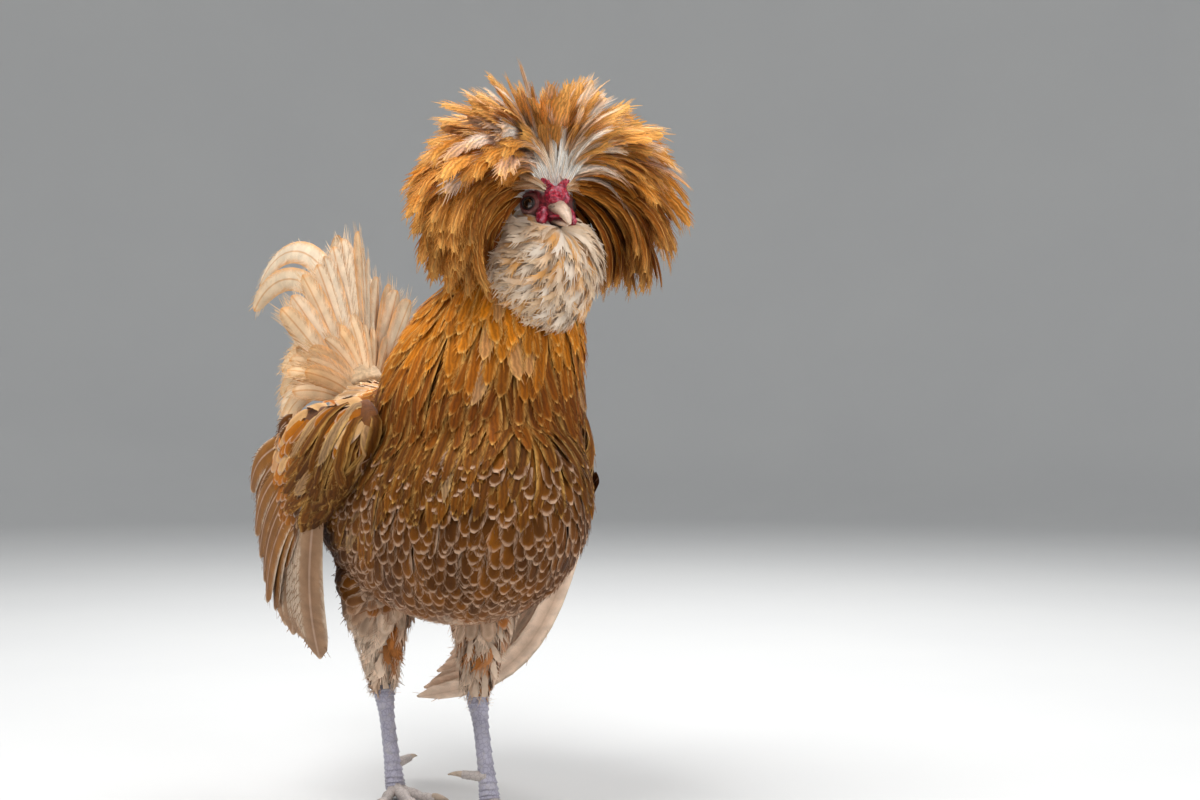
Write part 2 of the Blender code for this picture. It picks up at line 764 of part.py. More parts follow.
def wing_sizes(side):
    """The wrist, the elbow, and the ends of the flight feathers, of a wing that hangs a little open."""
    sign = SIDE[side]
    wrist = {"left": Vector((0.1000, -0.0400, 0.2190)), "right": Vector((-0.1000, -0.0120, 0.2230))}[side]
    elbow = Vector((sign * 0.0960, 0.0480, 0.2640))
    low = {"left": Vector((0.0960, 0.0960, 0.1360)), "right": Vector((-0.0960, 0.0960, 0.1340))}[side]
    high = Vector((sign * 0.1080, 0.1240, 0.2250))
    tip = {"left": Vector((0.0470, 0.1120, 0.0700)), "right": Vector((-0.0620, 0.0800, 0.0980))}[side]
    last = {"left": Vector((0.0780, 0.1200, 0.1150)), "right": Vector((-0.0820, 0.1060, 0.1230))}[side]
    return sign, wrist, elbow, low, high, tip, last


def wing_core(side):
    def make(place, grow):
        sign, wrist, elbow = wing_sizes(side)[:3]
        middle = wrist.lerp(elbow, 0.5)
        stations = (
            (sign * 0.0740, -0.0640, 0.2820, 0.0080, 0.0150),
            (sign * 0.0860, -0.0420, 0.2660, 0.0105, 0.0270),
            (*middle.lerp(Vector((sign * 0.088, -0.030, 0.258)), 0.35), 0.0100, 0.0400),
            (*(middle + Vector((0, 0.018, -0.010))), 0.0075, 0.0400),
            (*(middle + Vector((sign * 0.002, 0.040, -0.026))), 0.0035, 0.0280),
            (*(middle + Vector((sign * 0.003, 0.055, -0.036))), 0.0016, 0.0140),
        )
        return loft("wing_" + side, stations, 7, 12, place, grow)
    return make


def fan_vane(root, end, look, bow, half, steps, place, grow, tip=0.35):
    """A stiff feather from root to end that bows sideways by bow."""
    path, looks = [], []
    for k in range(steps + 1):
        t = k / steps
        path.append(root.lerp(end, t) + bow * math.sin(t * math.pi))
        looks.append(look)
    return vane("vane", path, looks, leaf(half, steps, tip, 0.6, 0.75), VANE, place, grow)


def wing(side):
    def make(place, grow):
        sign, wrist, elbow, low, high, tip, last = wing_sizes(side)
        out = Vector((sign, -0.12, 0.10)).normalized()
        droop = {"left": Vector((0.014, -0.014, -0.036)), "right": Vector((-0.010, -0.012, -0.004))}[side]
        vanes = []
        for i in range(6):
            t = i / 5
            root = wrist.lerp(wrist.lerp(elbow, 0.30), t) - out * 0.0030
            end = tip.lerp(last, t) + Vector((0, lean(13, i, 0.003), lean(14, i, 0.003)))
            bow = droop * (1 - 0.5 * t)
            look = {"left": Vector((-0.15, -0.90, -0.40)), "right": Vector((-0.60, -0.78, -0.10))}[side]
            vanes.append(fan_vane(root, end, look, bow, 0.0110, 3, place, grow))
        for i in range(7):
            t = i / 6
            root = wrist.lerp(elbow, 0.12 + 0.84 * t) + out * 0.0006
            end = low.lerp(high, t) + Vector((0, lean(15, i, 0.004), lean(16, i, 0.004)))
            bow = Vector((sign * 0.007, 0.0, 0.004))
            vanes.append(fan_vane(root, end + out * 0.0007 * i, out, bow, 0.0140, 2, place, grow))
        for i in range(4):
            t = i / 3
            root = wrist.lerp(elbow, 0.08 + 0.84 * t) + out * 0.0050
            end = root.lerp(low.lerp(high, t), 0.52) + out * (0.0045 + 0.0008 * i)
            bow = Vector((sign * 0.004, 0.0, 0.002))
            vanes.append(fan_vane(root, end, out, bow, 0.0160, 2, place, grow))
        return join(wing_core(side)(place, grow), vanes)
    return make


def tail_core(place, grow):
    stations = (
        (*TAIL_ROOT, 0.0200, 0.0230),
        (-0.003, 0.1630, 0.3230, 0.0170, 0.0200),
        (-0.004, 0.1760, 0.3480, 0.0110, 0.0150),
        (-0.005, 0.1860, 0.3640, 0.0040, 0.0060),
    )
    return loft("tail", stations, 5, 12, place, grow)


def tail(place, grow):
    """Upright main feathers in two leaning halves, sickles that arch over them, and their coverts."""
    vanes = []
    for row, sizes in enumerate(TAIL_ROWS):
        kind, count, first, final, rise, bend, power, length, half, drop = sizes
        for i in range(count):
            for sign in (1, -1):
                number = row * 100 + 2 * i + (sign > 0)
                t = 0.0 if count == 1 else i / (count - 1)
                away = math.radians(180.0 - sign * (first + (final - first) * t))
                steep = math.radians(rise[0] + (rise[1] - rise[0]) * t + lean(17, number, 2.0))
                reach = (length[0] + (length[1] - length[0]) * t) * (1 + lean(18, number, 0.04))
                start = TAIL_ROOT + Vector((sign * (0.004 + 0.006 * t), 0.004, 0.004 - drop * t))
                steps = 5 if kind == "sickle" else 3
                path, looks = bent_line(start, away, steep, math.radians(bend), power, reach, steps)
                look = Vector((sign, -0.70, 0.15)).normalized()
                halves = leaf(half, steps, 0.25, 0.45, 0.55)
                vanes.append(vane(kind, path, [look] * len(path), halves, VANE, place, grow))
    return join(tail_core(place, grow), vanes)


def plan():
    """Each node's maker, and the makers of the forms that it is cut clear of."""
    upper, lower = beak_upper, beak_lower
    eyes = tuple(eye(side) for side in SIDE)
    rows = [
        ("head", head, eyes),
        ("torso", torso, ()),
        ("neck", neck, (torso, head_core)),
    ]
    rows += [("eye_" + side, eye(side), ()) for side in SIDE]
    rows += [
        ("beak_upper", upper, (head_core,)),
        ("beak_lower", lower, (head_core, upper)),
        ("comb", comb, (head_core, upper)),
    ]
    rows += [("wattle_" + side, wattle(side), (head_core, upper, lower)) for side in SIDE]
    rows += [
        ("crest", crest, (head, neck, face_zone)),
        ("beard", beard, (head, neck, crest, face_zone)),
    ]
    for side in SIDE:
        rows += [
            ("thigh_" + side, thigh(side), (torso,)),
            ("shank_" + side, shank(side), (thigh(side),)),
        ]
        for name in ("inner", "middle", "outer"):
            beside = {"inner": (), "middle": (toe(side, "inner"),), "outer": (toe(side, "middle"),)}[name]
            rows += [
                (f"toe_{name}_{side}", toe(side, name), (shank(side), *beside)),
                (f"claw_{name}_{side}", claw(side, name), (toe(side, name),)),
            ]
        rows += [
            ("toe_hind_" + side, hind_toe(side), (shank(side),)),
            ("claw_hind_" + side, hind_claw(side), (hind_toe(side),)),
            ("wing_" + side, wing(side), (torso, neck, thigh(side))),
        ]
    rows.append(("tail", tail, (torso,)))
    return rows


def stand_at_origin(parts):
    """Moves all so that the bottom centre of the whole is the origin."""
    corners = [vert.co for made in parts.objects for vert in made.data.vertices]
    low = Vector([min(corner[k] for corner in corners) for k in range(3)])
    high = Vector([max(corner[k] for corner in corners) for k in range(3)])
    shift = Vector(((low.x + high.x) / 2, (low.y + high.y) / 2, low.z))
    for made in parts.objects:
        made.data.transform(Matrix.Translation(-shift))


def build():
    clear_scene()
    parts = new_collection("Crested cock")
    cutters = new_collection("Cutters")
    for name, maker, near in plan():
        made = maker(parts, 0.0)
        made.name = name
        for other in near:
            apply_boolean(made, "DIFFERENCE", [other(cutters, CUT_GROW)])
            keep_largest(made)
        paint(made)
    bpy.data.collections.remove(cutters)
    stand_at_origin(parts)


build()
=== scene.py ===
"""A crested, bearded cock as a life-size still model: one skin with its plumage feather by feather.

Places are in the bird's own frame in metres: it faces -Y, its own left side is at +X, and z = 0 is the floor.
SHIFT takes them to the frame of the solids. Feathers are closed thin leaves, made in batches.
"""

import math
from collections import namedtuple
from contextlib import contextmanager
from itertools import product

import bmesh
import bpy
import numpy as np
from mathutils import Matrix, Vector
from mathutils.bvhtree import BVHTree


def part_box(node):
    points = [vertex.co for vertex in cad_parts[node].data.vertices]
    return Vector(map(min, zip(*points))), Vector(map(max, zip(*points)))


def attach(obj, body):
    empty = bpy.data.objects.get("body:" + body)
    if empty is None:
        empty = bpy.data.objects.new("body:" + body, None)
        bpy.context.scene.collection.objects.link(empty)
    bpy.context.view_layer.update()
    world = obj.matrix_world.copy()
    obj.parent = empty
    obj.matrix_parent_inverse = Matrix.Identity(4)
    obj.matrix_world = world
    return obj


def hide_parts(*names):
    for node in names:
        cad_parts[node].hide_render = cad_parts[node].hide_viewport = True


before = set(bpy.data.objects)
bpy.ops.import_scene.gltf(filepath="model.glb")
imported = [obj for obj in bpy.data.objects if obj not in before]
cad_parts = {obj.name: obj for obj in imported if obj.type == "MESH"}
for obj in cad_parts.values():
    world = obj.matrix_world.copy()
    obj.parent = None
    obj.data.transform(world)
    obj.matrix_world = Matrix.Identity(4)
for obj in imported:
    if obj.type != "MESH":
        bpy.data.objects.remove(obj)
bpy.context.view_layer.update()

# Places on the body
SIDE = {"left": 1, "right": -1}
HEAD_X = 0.0175
EYE_OUT = 0.0115
EYE = {side: np.array((HEAD_X + sign * EYE_OUT, -0.1460, 0.4180)) for side, sign in SIDE.items()}
EYE_AXIS = {side: np.array((sign * 0.81, -0.58, 0.06)) for side, sign in SIDE.items()}
FACE = np.array((HEAD_X, -0.1590, 0.4140))
CREST_ROOT = np.array((0.0220, -0.1260, 0.4360))
TAIL_ROOT = np.array((-0.002, 0.150, 0.298))
FOOT = {"left": np.array((0.022, -0.038, 0.0)), "right": np.array((-0.020, 0.038, 0.0))}
HOCK = {"left": np.array((0.0205, -0.020, 0.080)), "right": np.array((-0.0245, 0.050, 0.080))}
HIP = {"left": np.array((0.036, 0.002, 0.172)), "right": np.array((-0.036, 0.032, 0.172))}
eye_low, eye_high = (np.array(corner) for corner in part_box("eye_left"))
SHIFT = (eye_low + eye_high) / 2 - EYE["left"]

# Depth of the coat over the torso's skin
COAT = 0.0085

# The most triangles of one piece of the coat
PIECE_TRIANGLES = 190000

# Stations of the forms: x, y, z, half width, half depth
TORSO = np.array((
    (0.000, -0.1570, 0.2370, 0.0120, 0.0150),
    (0.000, -0.1520, 0.2365, 0.0300, 0.0350),
    (0.000, -0.1390, 0.2340, 0.0480, 0.0540),
    (0.000, -0.1120, 0.2290, 0.0670, 0.0730),
    (0.000, -0.0750, 0.2240, 0.0800, 0.0850),
    (0.000, -0.0200, 0.2210, 0.0860, 0.0890),
    (0.000, 0.0400, 0.2270, 0.0830, 0.0820),
    (0.000, 0.0900, 0.2420, 0.0690, 0.0660),
    (0.000, 0.1300, 0.2620, 0.0480, 0.0470),
    (0.000, 0.1560, 0.2800, 0.0280, 0.0290),
    (0.000, 0.1660, 0.2870, 0.0120, 0.0130),
))
NECK = np.array((
    (0.000, -0.0620, 0.2550, 0.0620, 0.0720),
    (0.002, -0.0700, 0.2850, 0.0660, 0.0730),
    (0.006, -0.0820, 0.3150, 0.0590, 0.0630),
    (0.011, -0.0960, 0.3450, 0.0480, 0.0500),
    (0.015, -0.1080, 0.3750, 0.0350, 0.0370),
    (0.017, -0.1170, 0.4000, 0.0290, 0.0300),
    (0.0175, -0.1200, 0.4200, 0.0220, 0.0240),
))
HEAD = np.array((
    (HEAD_X, -0.1640, 0.4110, 0.0040, 0.0045),
    (HEAD_X, -0.1610, 0.4115, 0.0068, 0.0080),
    (HEAD_X, -0.1540, 0.4135, 0.0108, 0.0118),
    (HEAD_X, -0.1450, 0.4180, 0.0142, 0.0170),
    (HEAD_X, -0.1330, 0.4230, 0.0176, 0.0220),
    (HEAD_X, -0.1200, 0.4250, 0.0186, 0.0235),
    (HEAD_X, -0.1080, 0.4240, 0.0165, 0.0210),
    (HEAD_X, -0.0990, 0.4220, 0.0110, 0.0140),
    (HEAD_X, -0.0960, 0.4210, 0.0050, 0.0060),
))
TAIL_STUB = np.array((
    (*TAIL_ROOT, 0.0180, 0.0210),
    (-0.003, 0.1600, 0.3150, 0.0120, 0.0150),
    (-0.004, 0.1680, 0.3320, 0.0060, 0.0080),
    (-0.005, 0.1720, 0.3400, 0.0020, 0.0030),
))


def linear(red, green, blue):
    """A colour given as it looks, 0 to 255, as linear light."""
    found = []
    for value in (red, green, blue):
        part = value / 255.0
        found.append(part / 12.92 if part <= 0.04045 else ((part + 0.055) / 1.055) ** 2.4)
    return np.array(found)


GOLD = linear(222, 130, 14)
GOLD_DEEP = linear(168, 86, 8)
GOLD_LIGHT = linear(232, 178, 108)
CREST_PALE = linear(244, 184, 104)
CREST_TIP = linear(240, 184, 104)
BUFF_LIGHT = linear(222, 160, 88)
BUFF = linear(136, 80, 10)
BROWN = linear(100, 56, 6)
LACE = linear(198, 162, 134)
CREAM = linear(236, 220, 196)
WHITE = linear(242, 236, 226)
PINKISH = linear(200, 168, 146)
CRIMSON = linear(188, 30, 58)
CRIMSON_DARK = linear(118, 20, 48)

# Numbers


def unit(vectors):
    return vectors / np.maximum(np.linalg.norm(vectors, axis=-1, keepdims=True), 1e-9)


def smoothstep(low, high, value):
    part = np.clip((value - low) / (high - low), 0.0, 1.0)
    return part * part * (3 - 2 * part)


def mix(first, second, part):
    part = np.asarray(part)[..., None]
    return first * (1 - part) + second * part


def far_from(points, centre, stretch=(1, 1, 1)):
    """How far places are from a centre, each axis against its own measure."""
    return np.linalg.norm((points - centre) * stretch, axis=1)


def ripple(points, scale, seed):
    """A smooth field from -1 to 1 over places, the same for a seed."""
    draw = np.random.default_rng(seed)
    total = np.zeros(points.shape[:-1])
    for _ in range(5):
        wave = draw.normal(size=3)
        wave = wave / np.linalg.norm(wave) * draw.uniform(0.7, 1.4) / scale
        total = total + np.sin(points @ wave * math.tau + draw.uniform(0, math.tau))
    return total / 3.2


def spline(stations, t):
    """Rows at the places t, from 0 to 1, on a smooth curve through the stations."""
    last = len(stations) - 1
    at = np.clip(t, 0, 0.999999) * last
    i = at.astype(int)
    f = (at - i)[..., None]
    a, b, c, d = (stations[np.clip(i + k, 0, last)] for k in (-1, 0, 1, 2))
    square = (2 * a - 5 * b + 4 * c - d) * f * f
    cube = (3 * b - a - 3 * c + d) * f ** 3
    return 0.5 * (2 * b + (c - a) * f + square + cube)


# Meshes


def added(name, data):
    """A new object of the scene."""
    made = bpy.data.objects.new(name, data)
    bpy.context.scene.collection.objects.link(made)
    return made


@contextmanager
def opened(made):
    """The mesh of a piece, open for editing."""
    work = bmesh.new()
    work.from_mesh(made.data)
    yield work
    work.to_mesh(made.data)
    work.free()


def vectors_of(made, name="co"):
    """The places of a piece's vertices, or their normals."""
    found = np.empty(len(made.data.vertices) * 3, dtype=np.float32)
    made.data.vertices.foreach_get(name, found)
    return found.reshape(-1, 3).astype(float)


def mesh_object(name, points, faces):
    """A smooth mesh object from arrays, moved to the frame of the solids."""
    mesh = bpy.data.meshes.new(name)
    count, sides = faces.shape
    mesh.vertices.add(len(points))
    mesh.vertices.foreach_set("co", (points + SHIFT).astype(np.float32).ravel())
    mesh.loops.add(count * sides)
    mesh.loops.foreach_set("vertex_index", faces.astype(np.int32).ravel())
    mesh.polygons.add(count)
    mesh.polygons.foreach_set("loop_start", np.arange(0, count * sides, sides, dtype=np.int32))
    mesh.update(calc_edges=True)
    mesh.validate()
    mesh.shade_smooth()
    return added(name, mesh)


def set_tint(made, tint):
    """A colour for each vertex, which the materials read."""
    layer = made.data.color_attributes.new("Tint", "FLOAT_COLOR", "POINT")
    layer.data.foreach_set("color", tint.astype(np.float32).ravel())


def set_uv(made, name, values):
    """A UV map from a pair of numbers for each vertex."""
    mesh = made.data
    index = np.empty(len(mesh.loops), dtype=np.int32)
    mesh.loops.foreach_get("vertex_index", index)
    layer = mesh.uv_layers.new(name=name)
    layer.data.foreach_set("uv", values[index].astype(np.float32).ravel())


def settle(made, material, nodes=()):
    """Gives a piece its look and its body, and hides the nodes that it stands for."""
    made.data.materials.clear()
    made.data.materials.append(material)
    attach(made, "root")
    if nodes:
        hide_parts(*nodes)


def grid_faces(rows, columns):
    """Quads of a grid of points, closed round its columns."""
    k, j = np.meshgrid(np.arange(rows - 1), np.arange(columns), indexing="ij")
    here, after = k * columns + j, k * columns + (j + 1) % columns
    return np.stack((here, after, after + columns, here + columns), -1).reshape(-1, 4)


def loft(name, stations, rings, sides, grow=0.0, bulge=None):
    """A closed round form through stations, its ends drawn in to a small ring and capped with a fan."""
    t = np.linspace(0, 1, rings)
    rows = spline(np.array(stations, dtype=float), t)
    centres = rows[:, :3]
    ahead = unit(np.gradient(centres, axis=0))
    side = np.zeros_like(ahead)
    side[:, 0] = 1.0
    side = unit(side - ahead * (side * ahead).sum(-1, keepdims=True))
    upper = unit(np.cross(side, ahead))
    turn = math.tau * (np.arange(sides) + 0.5) / sides
    wide, deep = (np.maximum(rows[:, column] + grow, 0.0006) for column in (3, 4))
    factor = np.ones((rings, sides)) if bulge is None else bulge(t[:, None], turn[None, :])
    around = side[:, None] * (wide[:, None] * np.sin(turn) * factor)[..., None]
    around = around + upper[:, None] * (deep[:, None] * np.cos(turn) * factor)[..., None]
    rings_of_points = centres[:, None] + around
    ends = []
    for end, inner in ((0, 1), (-1, -2)):
        out = centres[end] - centres[inner]
        tip = centres[end] + out / np.linalg.norm(out) * 0.4 * min(wide[end], deep[end])
        ends.append(tip + (rings_of_points[end] - centres[end]) * 0.25)
    points = np.concatenate((ends[0], rings_of_points.reshape(-1, 3), ends[1]))
    made = mesh_object(name, points, grid_faces(rings + 2, sides))
    with opened(made) as work:
        work.verts.ensure_lookup_table()
        end_rings = (range(sides), range(len(points) - sides, len(points)))
        for corners in [[work.verts[i] for i in ring] for ring in end_rings]:
            centre = work.verts.new(sum((vert.co for vert in corners), Vector()) / sides)
            for i in range(sides):
                work.faces.new((corners[i], corners[(i + 1) % sides], centre))
        bmesh.ops.recalc_face_normals(work, faces=work.faces)
    made.data.shade_smooth()
    return made


def ellipsoid(name, centre, radii, segments=24, rings=14):
    made = added(name, bpy.data.meshes.new(name))
    with opened(made) as work:
        bmesh.ops.create_uvsphere(work, u_segments=segments, v_segments=rings, radius=1.0)
        for vert in work.verts:
            vert.co = Vector([centre[k] + SHIFT[k] + vert.co[k] * radii[k] for k in range(3)])
    made.data.shade_smooth()
    return made


def joined(name, pieces):
    """One mesh object of several."""
    made = added(name, bpy.data.meshes.new(name))
    with opened(made) as work:
        for piece in pieces:
            work.from_mesh(piece.data)
            bpy.data.objects.remove(piece)
    return made


def fused(made, voxel, rounds):
    """The overlapping forms of a piece made into one closed surface, which is evened a little."""
    step = made.modifiers.new("Fuse", "REMESH")
    step.mode = "VOXEL"
    step.voxel_size = voxel
    soften = made.modifiers.new("Soften", "SMOOTH")
    soften.iterations = rounds
    graph = bpy.context.evaluated_depsgraph_get()
    bpy.context.view_layer.update()
    result = bpy.data.meshes.new_from_object(made.evaluated_get(graph))
    made.modifiers.clear()
    made.data = result
    made.data.shade_smooth()


# Feathers


def rgba(colour, alpha):
    alpha = np.broadcast_to(np.asarray(alpha, dtype=float), colour.shape[:-1])
    return np.concatenate((colour, alpha[..., None]), -1)


def eased(rows):
    """Places from 0 to 1 that crowd toward the tip."""
    return 1 - (1 - np.linspace(0, 1, rows)) ** 1.5


def leaf_shape(t, root=0.5, swell=0.6, tip=0.3):
    """Half widths of a leaf against its widest, from root to tip, at places t."""
    rise = root + (1 - root) * np.sin(np.minimum(t / swell, 1) * math.pi / 2)
    fall = tip + (1 - tip) * np.sqrt(np.maximum(1 - (np.maximum(t - swell, 0) / (1 - swell)) ** 2, 0))
    return np.where(t < swell, rise, fall)


def widths(shape, half, draw, n, least=0.8, most=1.2):
    """Half widths (n, rows) of leaves of one shape whose sizes differ a little."""
    return shape[None] * (half * draw.uniform(least, most, n))[:, None]


def straight(start, go, reach, t):
    """Lines that leave their starts along their own directions."""
    return start[:, None] + go[:, None] * (reach[:, None] * t[None])[..., None]


def bent_lines(start, turn, rise, bend, power, length, t):
    """Lines that rise from their starts and bend down, and where their upper sides look."""
    n = len(turn)
    level = np.stack((np.sin(turn), -np.cos(turn), np.zeros(n)), -1)
    fine = 48

    def slope_at(s):
        return rise[:, None] - bend[:, None] * s[None] ** power

    slope = slope_at((np.arange(fine) + 0.5) / fine)
    step = level[:, None] * np.cos(slope)[..., None]
    step[..., 2] += np.sin(slope)
    line = np.concatenate((np.zeros((n, 1, 3)), np.cumsum(step, 1)), 1) * (length / fine)[:, None, None]
    i = np.minimum((t * fine).astype(int), fine - 1)
    f = (t * fine - i)[None, :, None]
    path = start[:, None] + line[:, i] * (1 - f) + line[:, i + 1] * f
    slope = slope_at(t)
    look = -level[:, None] * np.sin(slope)[..., None]
    look[..., 2] += np.cos(slope)
    return path, look


def axes_of(path, look):
    """Along, out of and across leaves whose flat side looks to look."""
    ahead = unit(np.gradient(path, axis=1))
    out = unit(look - ahead * (look * ahead).sum(-1, keepdims=True))
    return ahead, out, np.cross(ahead, out)


def rolled(path, look, roll):
    """The looks turned about the leaf's own length by roll, one for a leaf or one for each row."""
    _, out, side = axes_of(path, look)
    return out * np.cos(roll)[..., None] + side * np.sin(roll)[..., None]


# Barbs of a leaf: how many pairs, from which part of its length, their width, how far they hang, how far
# they reach against the leaf's edge, and at which part of its half width they begin
Fray = namedtuple("Fray", "pairs start width droop reach cut")


class Batch:
    """Closed leaves gathered for one piece, with their colours and their two maps."""

    def __init__(self):
        self.points, self.faces, self.tints, self.places, self.vanes, self.count = [], [], [], [], [], 0

    def leaves(self, path, look, half, tint, root_map, thick=0.00022, cup=0.0, columns=2):
        """Leaves along path (n, rows, 3) whose flat side looks to look, with half widths (n, rows)."""
        n, rows, _ = path.shape
        wide = columns + 1
        _, out, side = axes_of(path, look)
        across = np.linspace(-1, 1, wide)
        flat = path[:, :, None] + side[:, :, None] * (half[:, :, None] * across)[..., None]
        flat = flat - out[:, :, None] * (cup * half[:, :, None] * across ** 2)[..., None]
        swell = out[:, :, None] * ((1 - across ** 2)[None, None] * thick)[..., None]

        def both(upper, lower):
            """A value for each point: the upper side whole, and the lower side inside its rim."""
            flat_shape = (n, -1, upper.shape[-1])
            return np.concatenate((upper.reshape(flat_shape), lower[:, 1:-1, 1:-1].reshape(flat_shape)), 1)

        points = both(flat + swell, flat - swell)
        k, j = np.meshgrid(np.arange(rows), np.arange(wide), indexing="ij")
        upper = k * wide + j
        lower = upper.copy()
        lower[1:-1, 1:-1] = rows * wide + np.arange((rows - 2) * (wide - 2)).reshape(rows - 2, wide - 2)
        sides = [np.stack((index[:-1, :-1], index[:-1, 1:], index[1:, 1:], index[1:, :-1]), -1).reshape(-1, 4)
                 for index in (upper, lower)]
        faces = np.concatenate((sides[0], sides[1][:, ::-1]))
        # Place on the leaf: across in half widths, along with 0 where its round tip is centred
        steps = np.linalg.norm(np.diff(path, axis=1), axis=-1)
        run = np.concatenate((np.zeros((n, 1)), np.cumsum(steps, 1)), 1)
        widest = half.max(1)
        vane = np.zeros((n, rows, wide, 2))
        vane[..., 0] = half[:, :, None] / widest[:, None, None] * across
        vane[..., 1] = ((run - run[:, -1:]) / widest[:, None] + 1.0)[:, :, None]
        patch = np.zeros((n, rows, wide, 2))
        patch[..., 0] = across * 0.5
        patch[..., 1] = np.linspace(-0.5, 0.5, rows)[:, None]
        if tint.ndim == 2:
            tint = tint[:, None]
        colour = np.broadcast_to(tint[:, :, None], (n, rows, wide, 4))
        size = points.shape[1]
        first = self.count + size * np.arange(n)[:, None, None]
        self.points.append(points.reshape(-1, 3))
        self.faces.append((faces[None] + first).reshape(-1, 4))
        self.tints.append(both(colour, colour).reshape(-1, 4))
        self.places.append((both(patch, patch) * 0.003 + root_map[:, None]).reshape(-1, 2))
        self.vanes.append(both(vane, vane).reshape(-1, 2))
        self.count += n * size

    def barbs(self, path, look, half, tint, root_map, draw, fray):
        """Loose barbs that leave each leaf at both sides, and fray its edge."""
        n, rows, _ = path.shape
        pick = np.arange(n)
        wide = half.max(1)
        t = np.linspace(0, 1, 3)[None, :, None]
        for sign in (-1, 1):
            for b in range(fray.pairs):
                at = fray.start + (1 - fray.start) * (b + draw.uniform(0.1, 0.9, n)) / fray.pairs * 0.97
                i = np.clip((at * (rows - 1)).astype(int), 0, rows - 2)
                f = at * (rows - 1) - i
                spot = path[pick, i] * (1 - f)[:, None] + path[pick, i + 1] * f[:, None]
                ahead = unit(path[pick, i + 1] - path[pick, i])
                out = look[pick, i]
                out = unit(out - ahead * (out * ahead).sum(-1, keepdims=True))
                side = np.cross(ahead, out) * sign
                local = half[pick, i] * (1 - f) + half[pick, i + 1] * f
                angle = np.radians(draw.uniform(24, 40, n)) * (1 - 0.45 * at)
                edge = np.maximum(local, wide * 0.45) * fray.reach * draw.uniform(0.85, 1.15, n)
                length = (edge - local * fray.cut) / np.sin(np.maximum(angle, 0.3))
                length = np.clip(length, wide * 0.3, wide * 3.0)
                go = unit(ahead * np.cos(angle)[:, None] + side * np.sin(angle)[:, None])
                begin = spot + side * (local * fray.cut)[:, None]
                line = begin[:, None] + go[:, None] * t * length[:, None, None]
                line = line + ahead[:, None] * (t ** 2) * length[:, None, None] * 0.12
                hang = fray.droop * draw.uniform(0.2, 1.6, n) * length
                line = line - out[:, None] * (t ** 2) * hang[:, None, None]
                taper = np.array((0.9, 1.0, 0.25))[None] * fray.width * draw.uniform(0.7, 1.3, n)[:, None]
                shade = tint if tint.ndim == 2 else tint[pick, i]
                looks = np.broadcast_to(out[:, None], line.shape)
                self.leaves(line, looks, taper, shade, root_map, thick=0.00010)

    def feathers(self, path, look, half, tint, root_map, draw, fray, slim=1.0, **form):
        """Leaves, narrower than their outline where slim is below 1, with the barbs that fray them."""
        self.leaves(path, look, half * slim, tint, root_map, **form)
        self.barbs(path, look, half, tint, root_map, draw, fray)

    def make(self, name, material, nodes):
        """The gathered leaves as one piece, or as several where they are too many for one."""
        points, faces, tints, places, vanes = (
            np.concatenate(part) for part in (self.points, self.faces, self.tints, self.places, self.vanes))
        total = math.ceil(2 * len(faces) / PIECE_TRIANGLES)
        step = math.ceil(len(faces) / total)
        for number in range(total):
            used, index = np.unique(faces[number * step:(number + 1) * step], return_inverse=True)
            title = name if total == 1 else f"{name}_{number + 1}"
            made = mesh_object(title, points[used], index.reshape(-1, 4))
            made.data.set_sharp_from_angle(angle=math.radians(75))
            set_tint(made, tints[used])
            set_uv(made, "OFBake", places[used])
            set_uv(made, "Vane", vanes[used])
            settle(made, material, nodes)


# Materials


